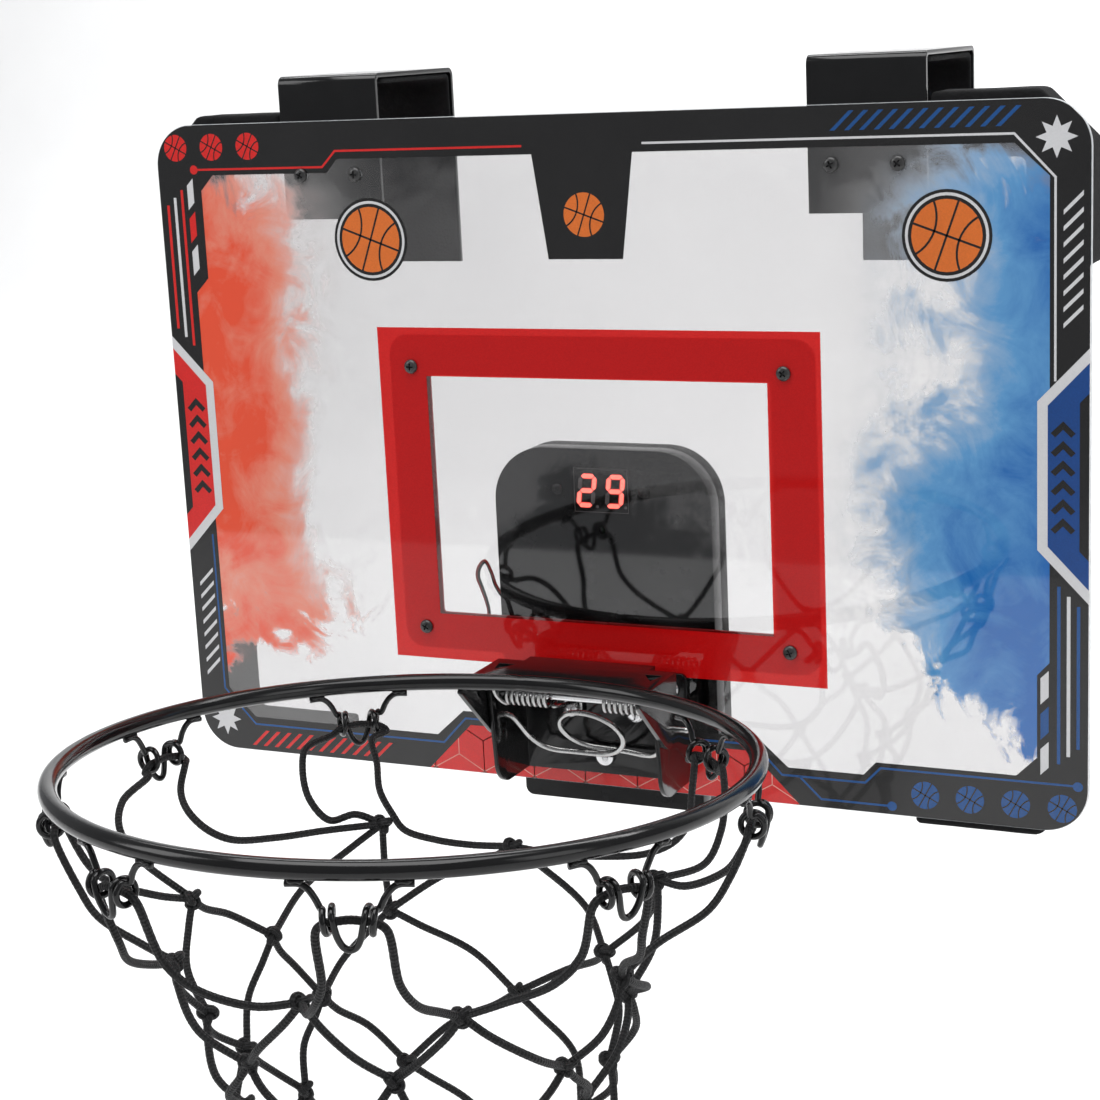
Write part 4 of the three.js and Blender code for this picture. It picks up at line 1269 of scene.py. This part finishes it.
def segment_shapes(cx, cz, width, height, bar):
    """A digit's bars as outlines that lean to the right: top, two upper, middle, two lower, bottom."""
    lean = math.tan(math.radians(7))
    w, h, b = width / 2, height / 2, bar / 2
    gap = 0.22
    across = [(-w + gap + b, 0), (-w + gap + 2 * b, b), (w - gap - 2 * b, b), (w - gap - b, 0),
              (w - gap - 2 * b, -b), (-w + gap + 2 * b, -b)]
    down = [(0, h - gap - b), (b, h - gap - 2 * b), (b, gap + b), (0, gap), (-b, gap + b),
            (-b, h - gap - 2 * b)]
    placed = [[(x, z + h - b) for x, z in across],
              [(x - w + b, z) for x, z in down], [(x + w - b, z) for x, z in down],
              across,
              [(x - w + b, -z) for x, z in down], [(x + w - b, -z) for x, z in down],
              [(x, z - h + b) for x, z in across]]
    return [[(cx + x + z * lean, cz + z) for x, z in shape] for shape in placed]


def make_display():
    front = (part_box("display_module")[0].y - BOARD_LO.y) / MM
    z0, z1 = 125.3, 145.4
    parts = Tubes()

    def block(outline, y0, y1, slot):
        a = [at(x, y0, z) for x, z in outline]
        b = [at(x, y1, z) for x, z in outline]
        parts.faces_from(*sheet_between(a, b), slot)

    block(rounded_outline(-14.4, 124.2, 14.4, 146.6, 0.4, steps=3), 7.3, 11.8, 2)
    block(rounded_outline(-13.1, z0, 13.1, z1, 0.5, steps=4), front + 0.15, 7.2, 2)
    face = front + 0.1
    centre = (z0 + z1) / 2
    for cx, digit in ((-6.9, "2"), (6.7, "9")):
        wide = segment_shapes(cx, centre - 0.2, 9.2, 15.6, 2.6)
        for shape, glow, lit in zip(segment_shapes(cx, centre - 0.2, 8.7, 15.1, 1.95), wide, SEGMENTS[digit]):
            block(shape, face - 0.06, face + 0.5, 0 if lit else 1)
            if lit:
                block(glow, face - 0.02, face + 0.3, 3)
        block(circle(cx + 4.9, centre - 7.3, 0.7, 14), face - 0.06, face + 0.5, 1)
    low, high = z0 + 0.25, z1 - 0.25
    border = [(-12.9, low), (12.9, low), (12.9, high), (-12.9, high), (-12.9, low)]
    for piece in stroke(border, 0.22):
        block(piece, face - 0.03, face + 0.2, 1)
    add_piece("display_digits", parts.mesh("display_digits"), "board", ["display_module"],
              ["lit", "unlit", "lens", "halo"], smooth=False)


def make_lead():
    """Two thin insulated wires side by side, from the unit's wall round to the sensor."""
    route = [(-50.2, 10.2, 81.5), (-53.5, 10.1, 83), (-56.6, 9.6, 88), (-58.4, 9.2, 94.3), (-61.2, 9, 99.2),
             (-64.3, 8.7, 95.8), (-64.8, 8.4, 91.5), (-63.1, 8, 87.2), (-61.2, 7.8, 82), (-60, 7.8, 77),
             (-60, 7.8, 72), (-60.8, 7.8, 66)]
    line = spline([at(*p) for p in route], 0.0004)
    parts = Tubes()
    for slot, way in ((0, -1), (1, 1)):
        shifted = []
        for k, p in enumerate(line):
            ahead = line[min(k + 1, len(line) - 1)] - line[max(k - 1, 0)]
            ahead /= np.linalg.norm(ahead)
            flat = np.cross(ahead, (0.0, 1.0, 0.0))
            flat /= max(np.linalg.norm(flat), 1e-9)
            roll = 0.5 * math.sin(k * 0.035)
            shifted.append(p + way * 0.00052 * (flat * math.cos(roll) + np.array((0, 1, 0)) * math.sin(roll)))
        parts.tube(shifted, 0.00055, 12, slot=slot)
    add_piece("sensor_lead_pair", parts.mesh("sensor_lead_pair"), "board", ["sensor_lead"],
              ["red_wire", "dark_wire"])


make_unit()
make_display()
make_lead()


# ---- door hooks, liners and corner pads ----
def foam_piece(name, node, rounding, seed):
    """A foam piece in the place of its CAD solid: remeshed, rounded and with slightly uneven faces."""
    mesh = NODES[node].data.copy()
    mesh.materials.clear()
    made = add_piece(name, mesh, "board", [node], ["foam"])
    modifier(made, "WELD", merge_threshold=1e-6)
    modifier(made, "BEVEL", width=rounding, segments=3, limit_method="ANGLE", angle_limit=math.radians(30))
    modifier(made, "TRIANGULATE")
    modifier(made, "REMESH", mode="VOXEL", voxel_size=0.0012)
    modifier(made, "SMOOTH", factor=0.5, iterations=3)
    applied(made)
    rng = random.Random(seed)
    shift = Vector([rng.uniform(0, 9) for _ in range(3)])
    for v in made.data.vertices:
        v.co -= v.normal * (0.00012 + 0.00022 * (noise.noise(v.co * 60 + shift) + 0.5))
    shade_smooth(made.data)


def make_foam():
    seed = 1
    for word in ("left", "right"):
        foam_piece(f"hook_liner_{word}_foam", f"hook_liner_{word}", 0.0007, seed)
        for level in ("upper", "lower"):
            seed += 1
            foam_piece(f"corner_pad_{level}_{word}_foam", f"corner_pad_{level}_{word}", 0.0016, seed)


for hook_side in ("left", "right"):
    refinish(f"door_hook_{hook_side}", "paint", 0.0006)
make_foam()


# ---- studio ----
def area_light(name, place, aim, size, power, colour=(1, 1, 1)):
    data = bpy.data.lights.new(name, "AREA")
    data.shape, data.size, data.size_y = "RECTANGLE", size[0], size[1]
    data.energy, data.color = power, colour
    lamp = in_scene(name, data)
    lamp.location = place
    lamp.rotation_mode = "QUATERNION"
    lamp.rotation_quaternion = (Vector(aim) - Vector(place)).to_track_quat("-Z", "Y")


def make_studio():
    """A paper sweep behind and under the object, the lamps and the sky."""
    floor_z, near_y, far_y, bend, top_z, half_width = -0.6, -1.62, 2.0, 0.9, 3.2, 4.5
    profile = [(near_y, floor_z), (far_y, floor_z)]
    profile += [(far_y + bend * math.sin(a), floor_z + bend * (1 - math.cos(a)))
                for a in np.linspace(0.1, math.pi / 2, 12)]
    profile += [(far_y + bend, top_z)]
    verts = [(x, y, z) for y, z in profile for x in (-half_width, half_width)]
    faces = [(2 * k, 2 * k + 1, 2 * k + 3, 2 * k + 2) for k in range(len(profile) - 1)]
    mesh = mesh_of("studio_sweep", verts, faces)
    shade_smooth(mesh)
    sweep = in_scene("studio_sweep", mesh)
    s = Shader("pale_paper")
    base = s.ramp(s.noise(3, 3), (0.3, (0.86, 0.86, 0.86)), (0.7, (0.9, 0.9, 0.9)))
    mesh.materials.append(s.done(s.principled(Base_Color=base, Roughness=0.9, Specular_IOR_Level=0.1)))
    world = bpy.data.worlds.new("studio")
    world.use_nodes = True
    world.node_tree.nodes["Background"].inputs["Color"].default_value = (0.30, 0.305, 0.315, 1)
    world.node_tree.nodes["Background"].inputs["Strength"].default_value = 1.0
    bpy.context.scene.world = world
    area_light("top_soft", (0.0, -0.7, 1.9), (0, -0.7, -0.5), (2.2, 1.4), 37)
    area_light("key_left", (-1.9, -1.5, 1.0), (0, -0.1, -0.2), (1.0, 1.4), 13)
    area_light("fill_right", (2.1, -0.9, 0.5), (0, -0.1, -0.2), (0.8, 1.4), 5)
    area_light("back_wash", (0, 1.2, 2.2), (0, 2.8, 0.2), (4.6, 1.0), 112)
    view = bpy.context.scene.view_settings
    view.view_transform, view.look = "Standard", "None"


make_studio()
